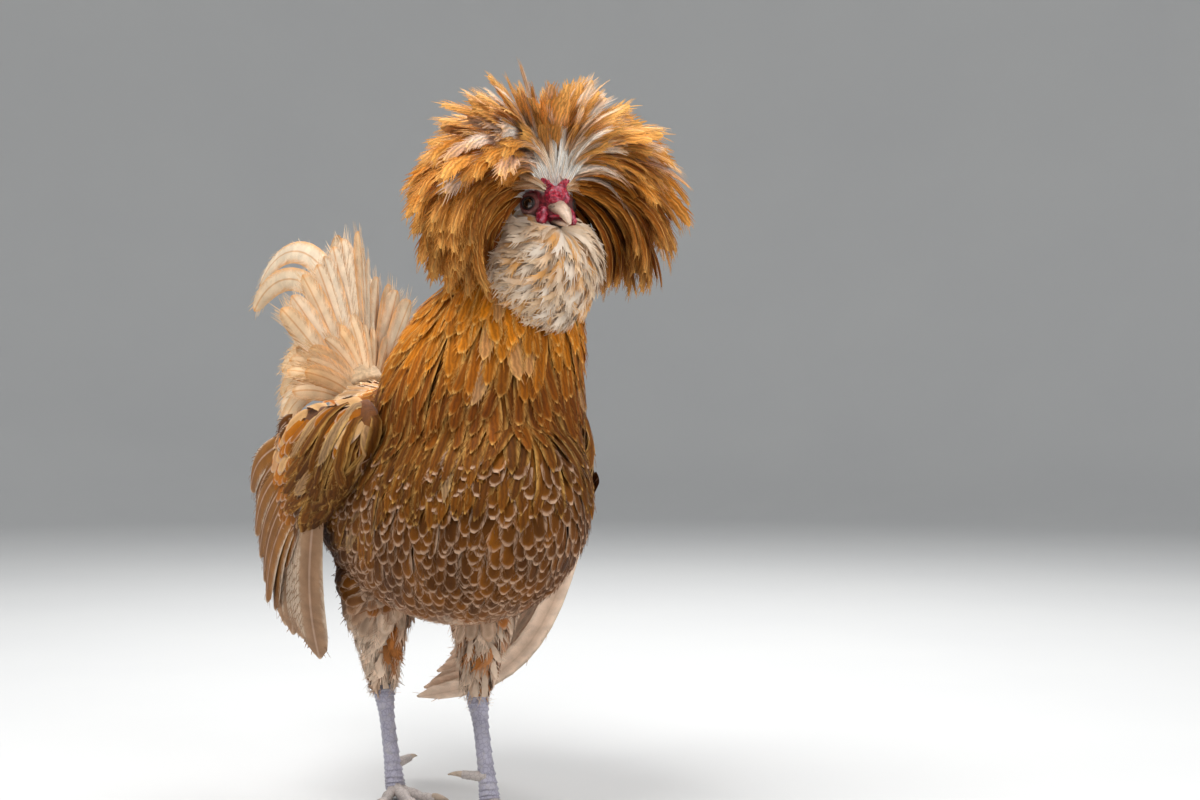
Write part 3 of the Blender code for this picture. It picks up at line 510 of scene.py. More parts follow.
class Shade:
    """A Principled material and short calls for the nodes that feed it."""

    def __init__(self, name, rough, specular=0.4, sheen=0.0, coat=0.0, subsurface=0.0):
        self.material = bpy.data.materials.new(name)
        self.material.use_nodes = True
        self.tree = self.material.node_tree
        self.shader = self.tree.nodes["Principled BSDF"]
        self.constant("Roughness", rough)
        self.constant("Specular IOR Level", specular)
        self.constant("Sheen Weight", sheen)
        self.constant("Coat Weight", coat)
        self.constant("Subsurface Weight", subsurface)
        self.constant("Subsurface Radius", (0.004, 0.0012, 0.0008))

    def constant(self, socket, value):
        self.shader.inputs[socket].default_value = value

    def put(self, socket, value):
        if hasattr(value, "is_output"):
            self.tree.links.new(value, socket)
        elif isinstance(value, (tuple, np.ndarray)) and socket.type == "RGBA":
            socket.default_value = (*value, 1.0)
        else:
            socket.default_value = value

    def node(self, kind, values=(), **settings):
        """A node with its settings, and values for its sockets by name or number."""
        made = self.tree.nodes.new("ShaderNode" + kind)
        for name, value in settings.items():
            setattr(made, name, value)
        for socket, value in dict(values).items():
            self.put(made.inputs[socket], value)
        return made

    def math(self, operation, first, second=0.0, clamp=False):
        return self.node("Math", {0: first, 1: second}, operation=operation, use_clamp=clamp).outputs[0]

    def add(self, first, second, clamp=False):
        return self.math("ADD", first, second, clamp)

    def times(self, first, second):
        return self.math("MULTIPLY", first, second)

    def step(self, value, low, high, first=0.0, second=1.0):
        values = dict(enumerate((value, low, high, first, second)))
        return self.node("MapRange", values, interpolation_type="SMOOTHSTEP").outputs[0]

    def mix(self, part, first, second, blend="MIX"):
        return self.node("Mix", {0: part, 6: first, 7: second}, data_type="RGBA", blend_type=blend).outputs[2]

    def noise(self, scale, detail=3.0, rough=0.5, stretch=None):
        values = {"Scale": scale, "Detail": detail, "Roughness": rough, "Vector": self.place(stretch)}
        return self.node("TexNoise", values).outputs["Fac"]

    def cells(self, scale, feature="F1", stretch=None):
        values = {"Scale": scale, "Vector": self.place(stretch)}
        return self.node("TexVoronoi", values, feature=feature).outputs["Distance"]

    def place(self, stretch=None):
        place = self.node("TexCoord").outputs["Object"]
        if stretch is None:
            return place
        return self.node("Mapping", {"Scale": stretch, "Vector": place}).outputs["Vector"]

    def tint(self):
        """The piece's own colour, and the strength that its alpha holds."""
        node = self.node("Attribute", attribute_type="GEOMETRY", attribute_name="Tint")
        return node.outputs["Color"], node.outputs["Alpha"]

    def parts(self, vector):
        return self.node("SeparateXYZ", {"Vector": vector}).outputs

    def shaded(self, colour, factor):
        """The base colour as a colour times a number."""
        self.colour(self.node("VectorMath", {0: colour, "Scale": factor}, operation="SCALE").outputs[0])

    def colour(self, value):
        self.put(self.shader.inputs["Base Color"], value)

    def rough(self, value):
        self.put(self.shader.inputs["Roughness"], value)

    def bump(self, height, strength, distance):
        node = self.node("Bump", {"Strength": strength, "Distance": distance, "Height": height})
        self.put(self.shader.inputs["Normal"], node.outputs["Normal"])


def feather_material(name, lace, lace_from, lace_to, shaft=None, dark=0.0, barbs=9.0, strands=0.0):
    """Vane with barbs that run out at a slant, a shaft, a laced rim and a darker heart."""
    made = Shade(name, 0.62, specular=0.12, sheen=0.02)
    made.constant("Sheen Roughness", 0.45)
    base, strength = made.tint()
    vane = made.node("UVMap", uv_map="Vane").outputs["UV"]
    x, y, _ = made.parts(vane)
    aside = made.math("ABSOLUTE", x)
    beyond = made.math("MAXIMUM", y, 0.0)
    reach = made.math("SQRT", made.add(made.times(x, x), made.times(beyond, beyond)))
    uneven = made.times(made.math("SUBTRACT", made.noise(260.0, 2.0), 0.5), 0.30)
    wave = made.math("SINE", made.times(made.math("SUBTRACT", y, made.times(aside, 1.6)), barbs * 4.0))
    reach = made.add(made.add(reach, uneven), made.times(wave, 0.07))
    heart = made.step(reach, 0.1, 0.75, 1.0 - dark, 1.0)
    colour = made.mix(1.0, base, made.mix(heart, (0.42, 0.30, 0.20), (1.0, 1.0, 1.0)), "MULTIPLY")
    colour = made.mix(made.times(made.step(reach, lace_from, lace_to), strength), colour, lace)
    if shaft is not None:
        colour = made.mix(made.times(made.step(aside, 0.03, 0.11, 1.0, 0.0), 0.55), colour, shaft)
    streak = made.step(wave, -1.0, 1.0, 0.80, 1.08)
    shade = made.times(streak, made.step(made.noise(90.0, 3.0), 0.3, 0.7, 0.86, 1.1))
    if strands:
        along = made.add(made.times(y, 1.5), made.times(made.noise(240.0, 2.0), 9.0))
        run = made.math("SINE", made.add(made.times(x, 11.0), along))
        shade = made.times(shade, made.step(run, -1.0, 1.0, 1.0 - strands, 1.0 + strands * 0.6))
    made.shaded(colour, shade)
    made.bump(wave, 0.25, 0.00012)
    return made.material


def soft_material(name, rough=0.7):
    """Loose barbs and down, coloured by the piece."""
    made = Shade(name, rough, specular=0.15, sheen=0.08)
    made.shaded(made.tint()[0], made.step(made.noise(120.0, 3.0), 0.3, 0.7, 0.88, 1.08))
    made.bump(made.noise(1400.0, 2.0), 0.3, 0.0002)
    return made.material


def skin_material():
    """Down over the body and bare, wet-looking crimson skin on the face, by the tint's alpha."""
    made = Shade("Skin", 0.6, specular=0.35, sheen=0.1)
    base, bare = made.tint()
    made.shaded(base, made.step(made.noise(300.0, 4.0), 0.3, 0.7, 0.75, 1.15))
    made.rough(made.step(bare, 0.0, 1.0, 0.75, 0.38))
    made.bump(made.cells(900.0), 0.5, 0.0004)
    return made.material


def flesh_material():
    """Crimson comb and wattles: round grains, darker between them, with a wet gloss and paler blotches."""
    made = Shade("Flesh", 0.32, specular=0.5, coat=0.25, subsurface=0.12)
    made.constant("Coat Roughness", 0.25)
    grain = made.cells(620.0, "SMOOTH_F1")
    fine = made.noise(1500.0, 3.0)
    colour = made.mix(made.step(grain, 0.25, 0.75), CRIMSON, CRIMSON_DARK)
    pale = made.step(made.noise(300.0, 2.0), 0.46, 0.72, 0.0, 0.65)
    made.colour(made.mix(pale, colour, linear(196, 124, 142)))
    made.rough(made.step(fine, 0.3, 0.7, 0.24, 0.48))
    made.bump(made.math("SUBTRACT", made.times(fine, 0.25), grain), 0.7, 0.0006)
    return made.material


def horn_material(name, pale, dark, axis, low, high, rough=0.38):
    """Horn that darkens between two places along an axis, 1 for Y or 2 for Z, with streaks and blotches."""
    made = Shade(name, rough, specular=0.5, coat=0.12, subsurface=0.05)
    place = made.parts(made.place())[axis]
    streak = made.noise(420.0, 4.0, 0.6, stretch=(2.0, 0.35, 2.0))
    uneven = made.times(made.math("SUBTRACT", streak, 0.5), 0.7)
    shade = made.add(made.step(place, low, high), uneven, clamp=True)
    shade = made.add(shade, made.step(made.noise(170.0, 3.0, 0.55), 0.5, 0.72, 0.0, 0.45), clamp=True)
    made.colour(made.mix(shade, pale, dark))
    made.rough(made.step(streak, 0.3, 0.7, rough - 0.1, rough + 0.14))
    made.bump(streak, 0.45, 0.0002)
    return made.material


def scale_material(name, pale, dark):
    """Scaled skin of the legs: hard plates with darker seams and a chalky bloom."""
    made = Shade(name, 0.5, specular=0.4)
    seam = made.cells(340.0, "DISTANCE_TO_EDGE", stretch=(1.0, 1.0, 0.8))
    fine = made.noise(1300.0, 3.0)
    colour = made.mix(made.step(seam, 0.0, 0.12, 0.6, 1.0), dark, pale)
    bloom = made.step(made.noise(180.0, 4.0, 0.6), 0.45, 0.75, 0.0, 0.5)
    colour = made.mix(bloom, colour, linear(196, 190, 184))
    made.colour(made.mix(1.0, colour, made.tint()[0], "MULTIPLY"))
    made.rough(made.step(fine, 0.3, 0.7, 0.42, 0.66))
    made.bump(made.add(made.step(seam, 0.0, 0.16), made.times(fine, 0.3)), 0.25, 0.0002)
    return made.material


def eye_material():
    """Dark brown iris round a black pupil, under a clear wet coat."""
    made = Shade("Eye", 0.12, specular=0.6, coat=1.0)
    made.constant("Coat Roughness", 0.03)
    rays = made.step(made.noise(900.0, 3.0), 0.4, 0.7, 0.0, 0.5)
    made.colour(made.mix(rays, made.tint()[0], (0.05, 0.02, 0.008)))
    return made.material


def lid_material():
    """Creased bare skin, coloured by its tint."""
    made = Shade("Lids", 0.45, specular=0.4)
    grain = made.noise(1500.0, 4.0)
    made.shaded(made.tint()[0], made.step(made.noise(420.0, 3.0), 0.3, 0.7, 0.75, 1.2))
    made.rough(made.step(grain, 0.3, 0.7, 0.35, 0.6))
    made.bump(grain, 0.5, 0.0003)
    return made.material


# Skin


def thigh_stations(side):
    hip, hock = HIP[side], HOCK[side]
    sizes = ((0.0, 0.0250, 0.0320), (0.35, 0.0200, 0.0235), (0.65, 0.0135, 0.0150), (0.90, 0.0080, 0.0090),
             (1.0, 0.0064, 0.0070))
    return [(*(hip + (hock - hip) * part), wide, deep) for part, wide, deep in sizes]


def wing_places(side):
    """The wrist, the elbow, and the ends of the flight feathers, of a wing that hangs a little open."""
    sign = SIDE[side]
    wrist = {"left": (0.1000, -0.0400, 0.2190), "right": (-0.1000, -0.0120, 0.2230)}[side]
    elbow = (sign * 0.0960, 0.0480, 0.2640)
    low = {"left": (0.0960, 0.0960, 0.1360), "right": (-0.0960, 0.0960, 0.1340)}[side]
    high = (sign * 0.0985, 0.1130, 0.2220)
    tip = {"left": (0.0300, 0.1190, 0.0600), "right": (-0.0620, 0.0800, 0.0980)}[side]
    last = {"left": (0.0780, 0.1200, 0.1150), "right": (-0.0820, 0.1060, 0.1230)}[side]
    return [np.array(spot) for spot in (wrist, elbow, low, high, tip, last)]


def wing_stations(side):
    sign = SIDE[side]
    wrist, elbow = wing_places(side)[:2]
    middle = (wrist + elbow) / 2
    front = np.array((sign * 0.088, -0.030, 0.258))
    return [
        (sign * 0.0740, -0.0640, 0.2820, 0.0080, 0.0150),
        (sign * 0.0860, -0.0420, 0.2660, 0.0105, 0.0270),
        (*(middle * 0.65 + front * 0.35), 0.0100, 0.0400),
        (*(middle + (0, 0.018, -0.010)), 0.0075, 0.0400),
        (*(middle + (sign * 0.002, 0.040, -0.026)), 0.0035, 0.0280),
        (*(middle + (sign * 0.003, 0.055, -0.036)), 0.0020, 0.0140),
    ]


def is_bare(points):
    """How bare and red the skin is, from 0 to 1: round the eyes and on the face."""
    found = 1 - smoothstep(0.0120, 0.0150, far_from(points, FACE, (0.95, 0.8, 1.0)))
    for centre in EYE.values():
        found = np.maximum(found, 1 - smoothstep(0.0085, 0.0105, far_from(points, centre, (1, 0.85, 1.0))))
    return found


def plumage(points):
    """The coat's base colour at places on the skin, by what the photo shows."""
    _, y, z = points.T
    wave = ripple(points, 0.045, 3) * 0.6 + ripple(points, 0.016, 5) * 0.4
    spots = ripple(points, 0.020, 7) * 0.55 + ripple(points, 0.009, 8) * 0.45
    breast = mix(BROWN, BUFF, smoothstep(-0.6, 0.7, wave))
    # Painted light and shade: the neck's gold is dark low down and bright high up, as if lit from above
    high = smoothstep(0.300, 0.345, z - 0.25 * np.maximum(y + 0.05, 0))
    neck = mix(linear(128, 68, 2), linear(228, 138, 26), high)
    neck = mix(neck, GOLD_DEEP * 0.8, smoothstep(-0.2, 0.9, wave) * 0.5)
    colour = mix(breast, neck, smoothstep(0.262, 0.300, z))
    pale = np.maximum(smoothstep(0.15, 0.6, wave), smoothstep(0.06, 0.12, y))
    back = mix(GOLD, linear(226, 190, 148), pale)
    colour = mix(colour, back, smoothstep(0.0, 0.05, y) * smoothstep(0.22, 0.26, z))
    fluff = mix(linear(232, 204, 178), linear(188, 118, 58), smoothstep(-0.05, 0.5, spots))
    rear = smoothstep(0.05, 0.10, y) * (1 - smoothstep(0.2, 0.25, z))
    colour = mix(colour, fluff, np.maximum(1 - smoothstep(0.130, 0.160, z + 0.010 * wave), rear))
    head = smoothstep(0.365, 0.385, z)
    colour = mix(colour, mix(GOLD_DEEP, GOLD, smoothstep(-0.5, 0.5, wave)), head)
    beard = head * smoothstep(0.120, 0.135, -y) * (1 - smoothstep(0.408, 0.430, z))
    colour = mix(colour, CREAM, beard)
    for centre in EYE.values():
        colour = mix(colour, linear(226, 214, 212), 1 - smoothstep(0.018, 0.027, far_from(points, centre)))
    return colour


def fill_fold(made, rounds):
    """Fills the fold where the neck runs into the breast and the shoulders, outward only."""
    points = vectors_of(made)
    count = len(points)
    ends = np.empty(len(made.data.edges) * 2, dtype=np.int32)
    made.data.edges.foreach_get("vertices", ends)
    one, two = ends.reshape(-1, 2).T
    degree = np.bincount(ends, minlength=count)
    _, y, z = (points - SHIFT).T
    share = smoothstep(0.215, 0.250, z) * (1 - smoothstep(0.345, 0.370, z)) * (1 - smoothstep(0.0, 0.04, y))
    evened = points.copy()
    for _ in range(rounds):
        for k in range(3):
            total = np.bincount(one, weights=evened[two, k], minlength=count)
            total = total + np.bincount(two, weights=evened[one, k], minlength=count)
            evened[:, k] += share * 0.8 * (total / degree - evened[:, k])
    normals = vectors_of(made, "normal")
    points += normals * np.maximum(((evened - points) * normals).sum(1), 0)[:, None]
    made.data.vertices.foreach_set("co", points.astype(np.float32).ravel())


def make_skin():
    """One closed skin under the whole coat: lofts fused by a voxel remesh, finer on the face."""
    pieces = [
        loft("torso", TORSO, 40, 48, grow=-COAT),
        loft("neck", NECK, 30, 44, grow=-0.0020),
        loft("head", HEAD, 30, 36, grow=-0.0004),
        loft("tail", TAIL_STUB, 14, 24),
        ellipsoid("crown", (0.0205, -0.1120, 0.4380), (0.0300, 0.0270, 0.0230)),
        ellipsoid("chin", (HEAD_X, -0.1400, 0.3860), (0.0170, 0.0130, 0.0170)),
    ]
    for side in SIDE:
        pieces.append(loft("thigh_" + side, thigh_stations(side), 20, 28))
        pieces.append(loft("wing_" + side, wing_stations(side), 16, 28, grow=-0.0020))
    skin = joined("body_skin", pieces)
    fused(skin, voxel=0.0026, rounds=5)
    fill_fold(skin, rounds=160)
    centre = Vector(FACE + SHIFT)
    with opened(skin) as work:
        near = [edge for edge in work.edges if (edge.verts[0].co - centre).length < 0.030]
        bmesh.ops.subdivide_edges(work, edges=near, cuts=2, use_grid_fill=True, smooth=0.6)
    skin.data.shade_smooth()
    points = vectors_of(skin) - SHIFT
    bare = is_bare(points)
    red = mix(linear(138, 42, 52), linear(84, 26, 32), smoothstep(-0.3, 0.6, ripple(points, 0.004, 9)))
    set_tint(skin, rgba(mix(plumage(points) * 0.72, red, bare), bare))
    settle(skin, skin_material(), ("torso", "neck", "head", "thigh_left", "thigh_right"))
    return skin, points


class Ground:
    """Nearest places on the skin, and where feathers root on it."""

    def __init__(self, skin, points):
        skin.data.calc_loop_triangles()
        corners = np.empty(len(skin.data.loop_triangles) * 3, dtype=np.int32)
        skin.data.loop_triangles.foreach_get("vertices", corners)
        self.tris = corners.reshape(-1, 3)
        self.points = points
        self.tree = BVHTree.FromPolygons([Vector(p) for p in points], self.tris.tolist())

    def nearest(self, spots):
        found, normals = np.empty_like(spots), np.empty_like(spots)
        for i, spot in enumerate(spots):
            found[i], normals[i], _, _ = self.tree.find_nearest(Vector(spot))
        return found, normals

    def roots(self, accept, spacing, seed, tries=90000):
        """Seeded places at least spacing apart, where accept(points) is true."""
        draw = np.random.default_rng(seed)
        a, b, c = (self.points[self.tris[:, k]] for k in range(3))
        cross = np.cross(b - a, c - a)
        area = np.linalg.norm(cross, axis=1) / 2
        which = draw.choice(len(area), tries, p=area / area.sum())
        u, v = draw.random(tries), draw.random(tries)
        over = u + v > 1
        u[over], v[over] = 1 - u[over], 1 - v[over]
        spots = a[which] + (b[which] - a[which]) * u[:, None] + (c[which] - a[which]) * v[:, None]
        keep = accept(spots)
        spots, normals = spots[keep], unit(cross[which])[keep]
        around = tuple(product((-1, 0, 1), repeat=3))
        held, picked = {}, []
        for i, spot in enumerate(spots):
            x, y, z = (int(place) for place in spot // spacing)
            cells = (held.get((x + dx, y + dy, z + dz), ()) for dx, dy, dz in around)
            if all(np.dot(other - spot, other - spot) >= spacing ** 2 for cell in cells for other in cell):
                held.setdefault((x, y, z), []).append(spot)
                picked.append(i)
        return spots[picked], normals[picked]

    def laid(self, root, normal, length, rows, tip, flow, wander, seed):
        """Lines that leave their roots and follow the skin along the flow, rising to tip above it."""
        draw = np.random.default_rng(seed)
        base = 0.0008
        spot, out = root.copy(), normal.copy()
        path, looks = [spot - out * 0.0015], [out]
        aside = draw.normal(0, 1, len(root)) * wander
        for k in range(1, rows):
            go = flow(spot)
            go = unit(go - out * (go * out).sum(-1, keepdims=True))
            go = unit(go + np.cross(out, go) * aside[:, None])
            spot, out = self.nearest(spot + go * (length / (rows - 1))[:, None])
            path.append(spot + out * (base + (tip - base) * (k / (rows - 1)) ** 0.8))
            looks.append(out)
        return np.stack(path, 1), np.stack(looks, 1)


def body_flow(points):
    """Which way the coat lies: down the neck and the breast, back along the back and the sides."""
    x, y, z = points.T
    back = smoothstep(-0.11, 0.05, y)
    rump = smoothstep(0.0, 0.06, y) * smoothstep(0.20, 0.26, z)
    leg = 1 - smoothstep(0.130, 0.160, z)
    aside = 0.14 * np.sign(x - 0.006) * smoothstep(0.0, 0.03, np.abs(x - 0.006)) * (1 - back)
    behind = (0.12 + 0.95 * back) * (1 - 0.8 * leg)
    down = (1 - 0.62 * back) * (1 - 0.55 * rump)
    return unit(np.stack((aside, behind, -down), -1))


def cheek_flow(points):
    """Out and back from the beak, round the eyes."""
    return unit(points - (HEAD_X, -0.1740, 0.4230))


def wing_flow(points):
    """Down and back over the wing."""
    return unit(np.broadcast_to((0.0, 0.72, -0.62), points.shape))


def unwrap(points):
    """A place for each root on an unwrap of the body's own shape: along it and round it."""
    x, y, z = points.T
    upright = smoothstep(0.25, 0.33, z) * (1 - smoothstep(-0.05, 0.02, y))
    round_torso = np.arctan2(x, z - 0.225) / math.tau + 0.5
    round_neck = np.arctan2(x - 0.010, -(y + 0.09)) / math.tau + 0.5
    torso = np.stack((0.02 + 0.96 * round_torso, 0.02 + 0.52 * np.clip((y + 0.17) / 0.40, 0, 1)), -1)
    neck = np.stack((0.02 + 0.96 * round_neck, 0.60 + 0.38 * np.clip((0.46 - z) / 0.24, 0, 1)), -1)
    return np.where((upright > 0.5)[:, None], neck, torso)


# Coat on the skin

# Kinds of feathers: spacing, length, half width, lift at the tip, rows, cup, wander, outline at the root and
# where it is widest and at the tip, pairs of barbs, slot, and nodes that they stand for
Kind = namedtuple("Kind", "spacing length half lift rows cup wander shape pairs slot nodes",
                  defaults=("body_plumage", ()))
SKIN_KINDS = {
    "breast": Kind(0.0068, 0.0260, 0.0059, 0.0074, 7, 0.16, 0.10, (0.55, 0.65, 0.24), 3),
    "hackle": Kind(0.0072, 0.0520, 0.0052, 0.0082, 9, 0.18, 0.12, (0.60, 0.60, 0.06), 6, "hackle", ("neck",)),
    "back": Kind(0.0072, 0.0340, 0.0056, 0.0078, 6, 0.15, 0.12, (0.55, 0.62, 0.35), 3),
    "saddle": Kind(0.0068, 0.0620, 0.0044, 0.0110, 8, 0.14, 0.16, (0.60, 0.45, 0.12), 5, nodes=("torso",)),
    "fluff": Kind(0.0050, 0.0175, 0.0034, 0.0048, 5, 0.00, 0.28, (0.50, 0.50, 0.10), 4),
    "shoulder": Kind(0.0072, 0.0250, 0.0062, 0.0045, 6, 0.16, 0.10, (0.55, 0.62, 0.35), 0, "wing"),
    "nape": Kind(0.0050, 0.0180, 0.0030, 0.0040, 5, 0.00, 0.10, (0.60, 0.50, 0.20), 0),
    "cheek": Kind(0.0021, 0.0090, 0.0011, 0.0030, 5, 0.00, 0.20, (0.60, 0.50, 0.10), 3),
}
LOOSE = ("fluff", "nape", "cheek")
FLOWS = {"shoulder": wing_flow, "cheek": cheek_flow}


def kind_of(points):
    """Which feathers grow at places on the skin; a later line goes over an earlier one."""
    x, y, z = points.T
    wave = ripple(points, 0.03, 21) * 0.008
    kinds = np.full(len(points), "breast", dtype=object)
    kinds[(z < 0.142 + wave) | ((y > 0.04) & (z < 0.215))] = "fluff"
    kinds[(y > -0.01) & (z > 0.250)] = "back"
    kinds[(y > 0.060) & (z > 0.225)] = "saddle"
    kinds[(z > 0.268 + wave + 0.2 * np.maximum(y + 0.06, 0)) & (y < 0.012)] = "hackle"
    kinds[(np.abs(x) > 0.079) & (y > -0.075) & (y < 0.085) & (z > 0.185)] = "shoulder"
    kinds[z > 0.385] = "nape"
    kinds[(y > 0.120) & (z > 0.262)] = "bare"
    for centre in EYE.values():
        kinds[far_from(points, centre, (1, 0.9, 1)) < 0.0260] = "cheek"
    kinds[far_from(points, FACE, (0.9, 0.8, 0.9)) < 0.0150] = "bare"
    kinds[(y < -0.150) & (np.abs(x - HEAD_X) < 0.008) & (z > 0.400)] = "bare"
    for centre in EYE.values():
        kinds[far_from(points, centre) < 0.0092] = "bare"
    return kinds


def grows(kind, points):
    """Where a kind has its roots: hackle hangs over the shoulder's front edge too."""
    found = kind_of(points) == kind
    if kind == "hackle":
        x, y, z = points.T
        found |= (np.abs(x) > 0.070) & (y > -0.085) & (y < -0.030) & (z > 0.230)
    return found


def coat_materials():
    return {
        "breast": feather_material("Breast", LACE, 0.54, 0.84, dark=0.45),
        "hackle": feather_material("Hackle", linear(246, 192, 108), 0.38, 0.96, dark=0.40, barbs=7.0,
                                   strands=0.22),
        "back": feather_material("Back", CREAM, 0.62, 0.95, shaft=GOLD_LIGHT, dark=0.2),
        "saddle": feather_material("Saddle", CREAM, 0.50, 0.95, shaft=GOLD_LIGHT, dark=0.2, barbs=7.0),
        "fluff": soft_material("Fluff", 0.8),
        "shoulder": feather_material("Shoulder", LACE, 0.66, 0.92, dark=0.3),
        "nape": soft_material("Nape"),
        "cheek": soft_material("Cheek"),
    }


def make_coat(ground):
    """The feathers that grow on the skin, kind by kind."""
    materials = coat_materials()
    for number, (name, kind) in enumerate(SKIN_KINDS.items()):
        draw = np.random.default_rng(100 + number)
        roots, normals = ground.roots(lambda spots: grows(name, spots), kind.spacing, 200 + number)
        n, rows = len(roots), kind.rows
        reach = kind.length * draw.uniform(0.85, 1.15, n)
        if name == "hackle":
            reach = reach * (0.70 + 0.45 * (1 - smoothstep(0.29, 0.37, roots[:, 2])))
        flow = FLOWS.get(name, body_flow)
        path, look = ground.laid(roots, normals, reach, rows, kind.lift, flow, kind.wander, 300 + number)
        look = rolled(path, look, draw.normal(0, 0.16, n)[:, None])
        wide = widths(leaf_shape(np.linspace(0, 1, rows), *kind.shape), kind.half, draw, n, 0.85, 1.15)
        tips = path[:, -1]
        base = plumage(tips * 0.5 + roots * 0.5) * draw.uniform(0.72, 1.22, n)[:, None]
        if name in ("shoulder", "back"):
            base = mix(mix(base, GOLD, 0.35), linear(236, 196, 140), (draw.random(n) < 0.35) * 0.6)
        strength = draw.uniform(0.55, 1.0, n)
        if name == "hackle":
            pale = draw.random(n) < 0.06 + 0.3 * smoothstep(-0.04, 0.01, roots[:, 1])
            base = mix(base, linear(238, 200, 150), pale * 0.35)
            # Painted shade: the pale edging fades on hackle feathers whose tips lie low on the neck
            strength = strength * 0.95 * (0.55 + 0.45 * smoothstep(0.27, 0.33, tips[:, 2]))
        tint = rgba(base, strength)
        if name == "fluff":
            tint = rgba(base[:, None] * np.linspace(0.75, 1.0, rows)[None, :, None], 1.0)
        if name in LOOSE:
            fray = Fray(kind.pairs, 0.25, 0.00018 if name == "cheek" else 0.00030, 0.12, 1.5, 0.3)
            form = {"slim": 0.75}
        else:
            fray = Fray(kind.pairs, 0.5, 0.00030, 0.04, 1.12, 0.7)
            form = {"cup": kind.cup, "columns": 4}
        batch = Batch()
        batch.feathers(path, look, wide, tint, unwrap(roots), draw, fray, **form)
        batch.make("coat_" + name, materials[name], kind.nodes)


# Crest and beard

CREST_ROWS = np.array((
    # rise, weight, length, bend, half gap over the face
    (86.0, 4, 0.060, 14.0, 0.0),
    (66.0, 8, 0.077, 44.0, 42.0),
    (46.0, 12, 0.092, 84.0, 54.0),
    (28.0, 14, 0.109, 98.0, 60.0),
    (8.0, 13, 0.110, 96.0, 64.0),
    (-14.0, 10, 0.100, 74.0, 68.0),
))


LONG_FEATHERS = 700
SHORT_FEATHERS = 150
# The golden section as a part of a turn and as an angle, which spread places evenly
GOLDEN_PART = 0.61803398875
GOLDEN_ANGLE = np.radians(137.508)


def seen_clear(path, reach=0.0098):
    """Which paths leave the eyes and the middle of the face in sight, from ahead and from the side."""
    clear = np.ones(len(path), dtype=bool)
    for side, sign in SIDE.items():
        for sight in (np.array((sign * 0.89, -0.45, 0.0)), np.array((sign * 0.454, -0.891, 0.0))):
            away = path - EYE[side] - np.array((sign * 0.003, 0.0, 0.0))
            along = away @ sight
            off = np.linalg.norm(away - along[..., None] * sight, axis=-1)
            clear &= ~((off < reach) & (along > -0.004)).any(1)
    x, y, z = np.moveaxis(path, -1, 0)
    front = (np.abs(x - HEAD_X) < 0.0100) & (y < -0.1480) & (z > 0.4035) & (z < 0.4355)
    return clear & ~front.any(1)


def crest_layer(batch, draw, level, turn, depth, scale, forward):
    """Crest feathers from their place between its rows, their turn and their depth, 1 at the surface."""
    n, rows = len(level), 11
    t = eased(rows)
    places = np.arange(len(CREST_ROWS))
    rise, length, bend, gap = (np.interp(level, places, CREST_ROWS[:, k]) for k in (0, 2, 3, 4))
    side = (turn + 180.0) % 360.0 - 180.0
    around = np.radians(gap * np.sign(side) + (180.0 - gap) / 180.0 * side)
    back = np.maximum(0, -np.cos(around))
    reach = length * scale * (0.72 + 0.28 * depth) * (1 - 0.10 * back) * draw.uniform(0.95, 1.06, n)
    start = CREST_ROOT + np.stack((
        0.005 * np.sin(around) + draw.normal(0, 0.002, n),
        0.016 * back - forward * (1 - back) + draw.normal(0, 0.003, n),
        0.003 - 0.006 * (level / 5) + draw.normal(0, 0.002, n),
    ), -1)
    rise = rise + draw.normal(0, 4.5, n) - 6 * (1 - depth)
    bend = bend + draw.normal(0, 8, n) + 12 * (1 - depth)
    path, look = bent_lines(start, around, np.radians(rise), np.radians(bend), 1.15, reach, t)
    swing = draw.normal(0, 0.09, n)[:, None, None] * (t ** 2)[None, :, None] * reach[:, None, None]
    path = path + np.stack((np.cos(around), np.sin(around), np.zeros(n)), -1)[:, None] * swing
    clear = seen_clear(path)
    path, look, around, level, depth = (part[clear] for part in (path, look, around, level, depth))
    n = len(path)
    look[..., 1] -= 1.3 * np.abs(np.sin(around))[:, None]
    look = rolled(path, look, draw.normal(0, 0.32, n)[:, None] * (0.3 + 0.7 * t)[None])
    wide = widths(leaf_shape(t, 0.40, 0.80, 0.12), 0.0046, draw, n)
    front = smoothstep(-0.2, 0.35, np.cos(around)) * smoothstep(3.0, 1.6, level)
    white = np.maximum(front * draw.uniform(0.5, 1.0, n), (draw.random(n) < 0.09) * 0.85)
    # Painted shade: feathers that lie deeper in the crest get a darker gold
    gold = mix(GOLD_DEEP, GOLD * 0.85, 0.35 + 0.65 * depth)
    # Painted light on the upper rows, which get paler toward the top; the random share of pale is the
    # feathers' own tone
    gold = mix(gold, CREST_PALE, draw.uniform(0, 0.35, n) + 0.7 * smoothstep(2.6, 0.8, level))
    # Painted shade: the lower, hanging rows get darker, the deeper feathers most
    gold = mix(gold, linear(126, 60, 10), smoothstep(2.4, 4.2, level) * (1 - 0.55 * depth))
    far = np.where(draw.random(n) < 0.4, 0.40, 0.0)[:, None]
    colour = mix(gold[:, None], CREST_TIP, smoothstep(0.86, 1.0, t)[None] * 0.4)
    colour = mix(colour, WHITE, white[:, None] * (1 - smoothstep(0.35, 0.75, t[None] - far)))
    colour = colour * draw.uniform(0.88, 1.12, n)[:, None, None]
    tint = rgba(colour, draw.uniform(0.35, 0.9, n)[:, None])
    root_map = np.stack((0.02 + 0.96 * (np.degrees(around) % 360) / 360, 0.96 - 0.17 * level), -1)
    fray = Fray(11, 0.45, 0.00034, 0.10, 1.30, 0.70)
    batch.feathers(path, look, wide, tint, root_map, draw, fray, cup=0.22, columns=4)


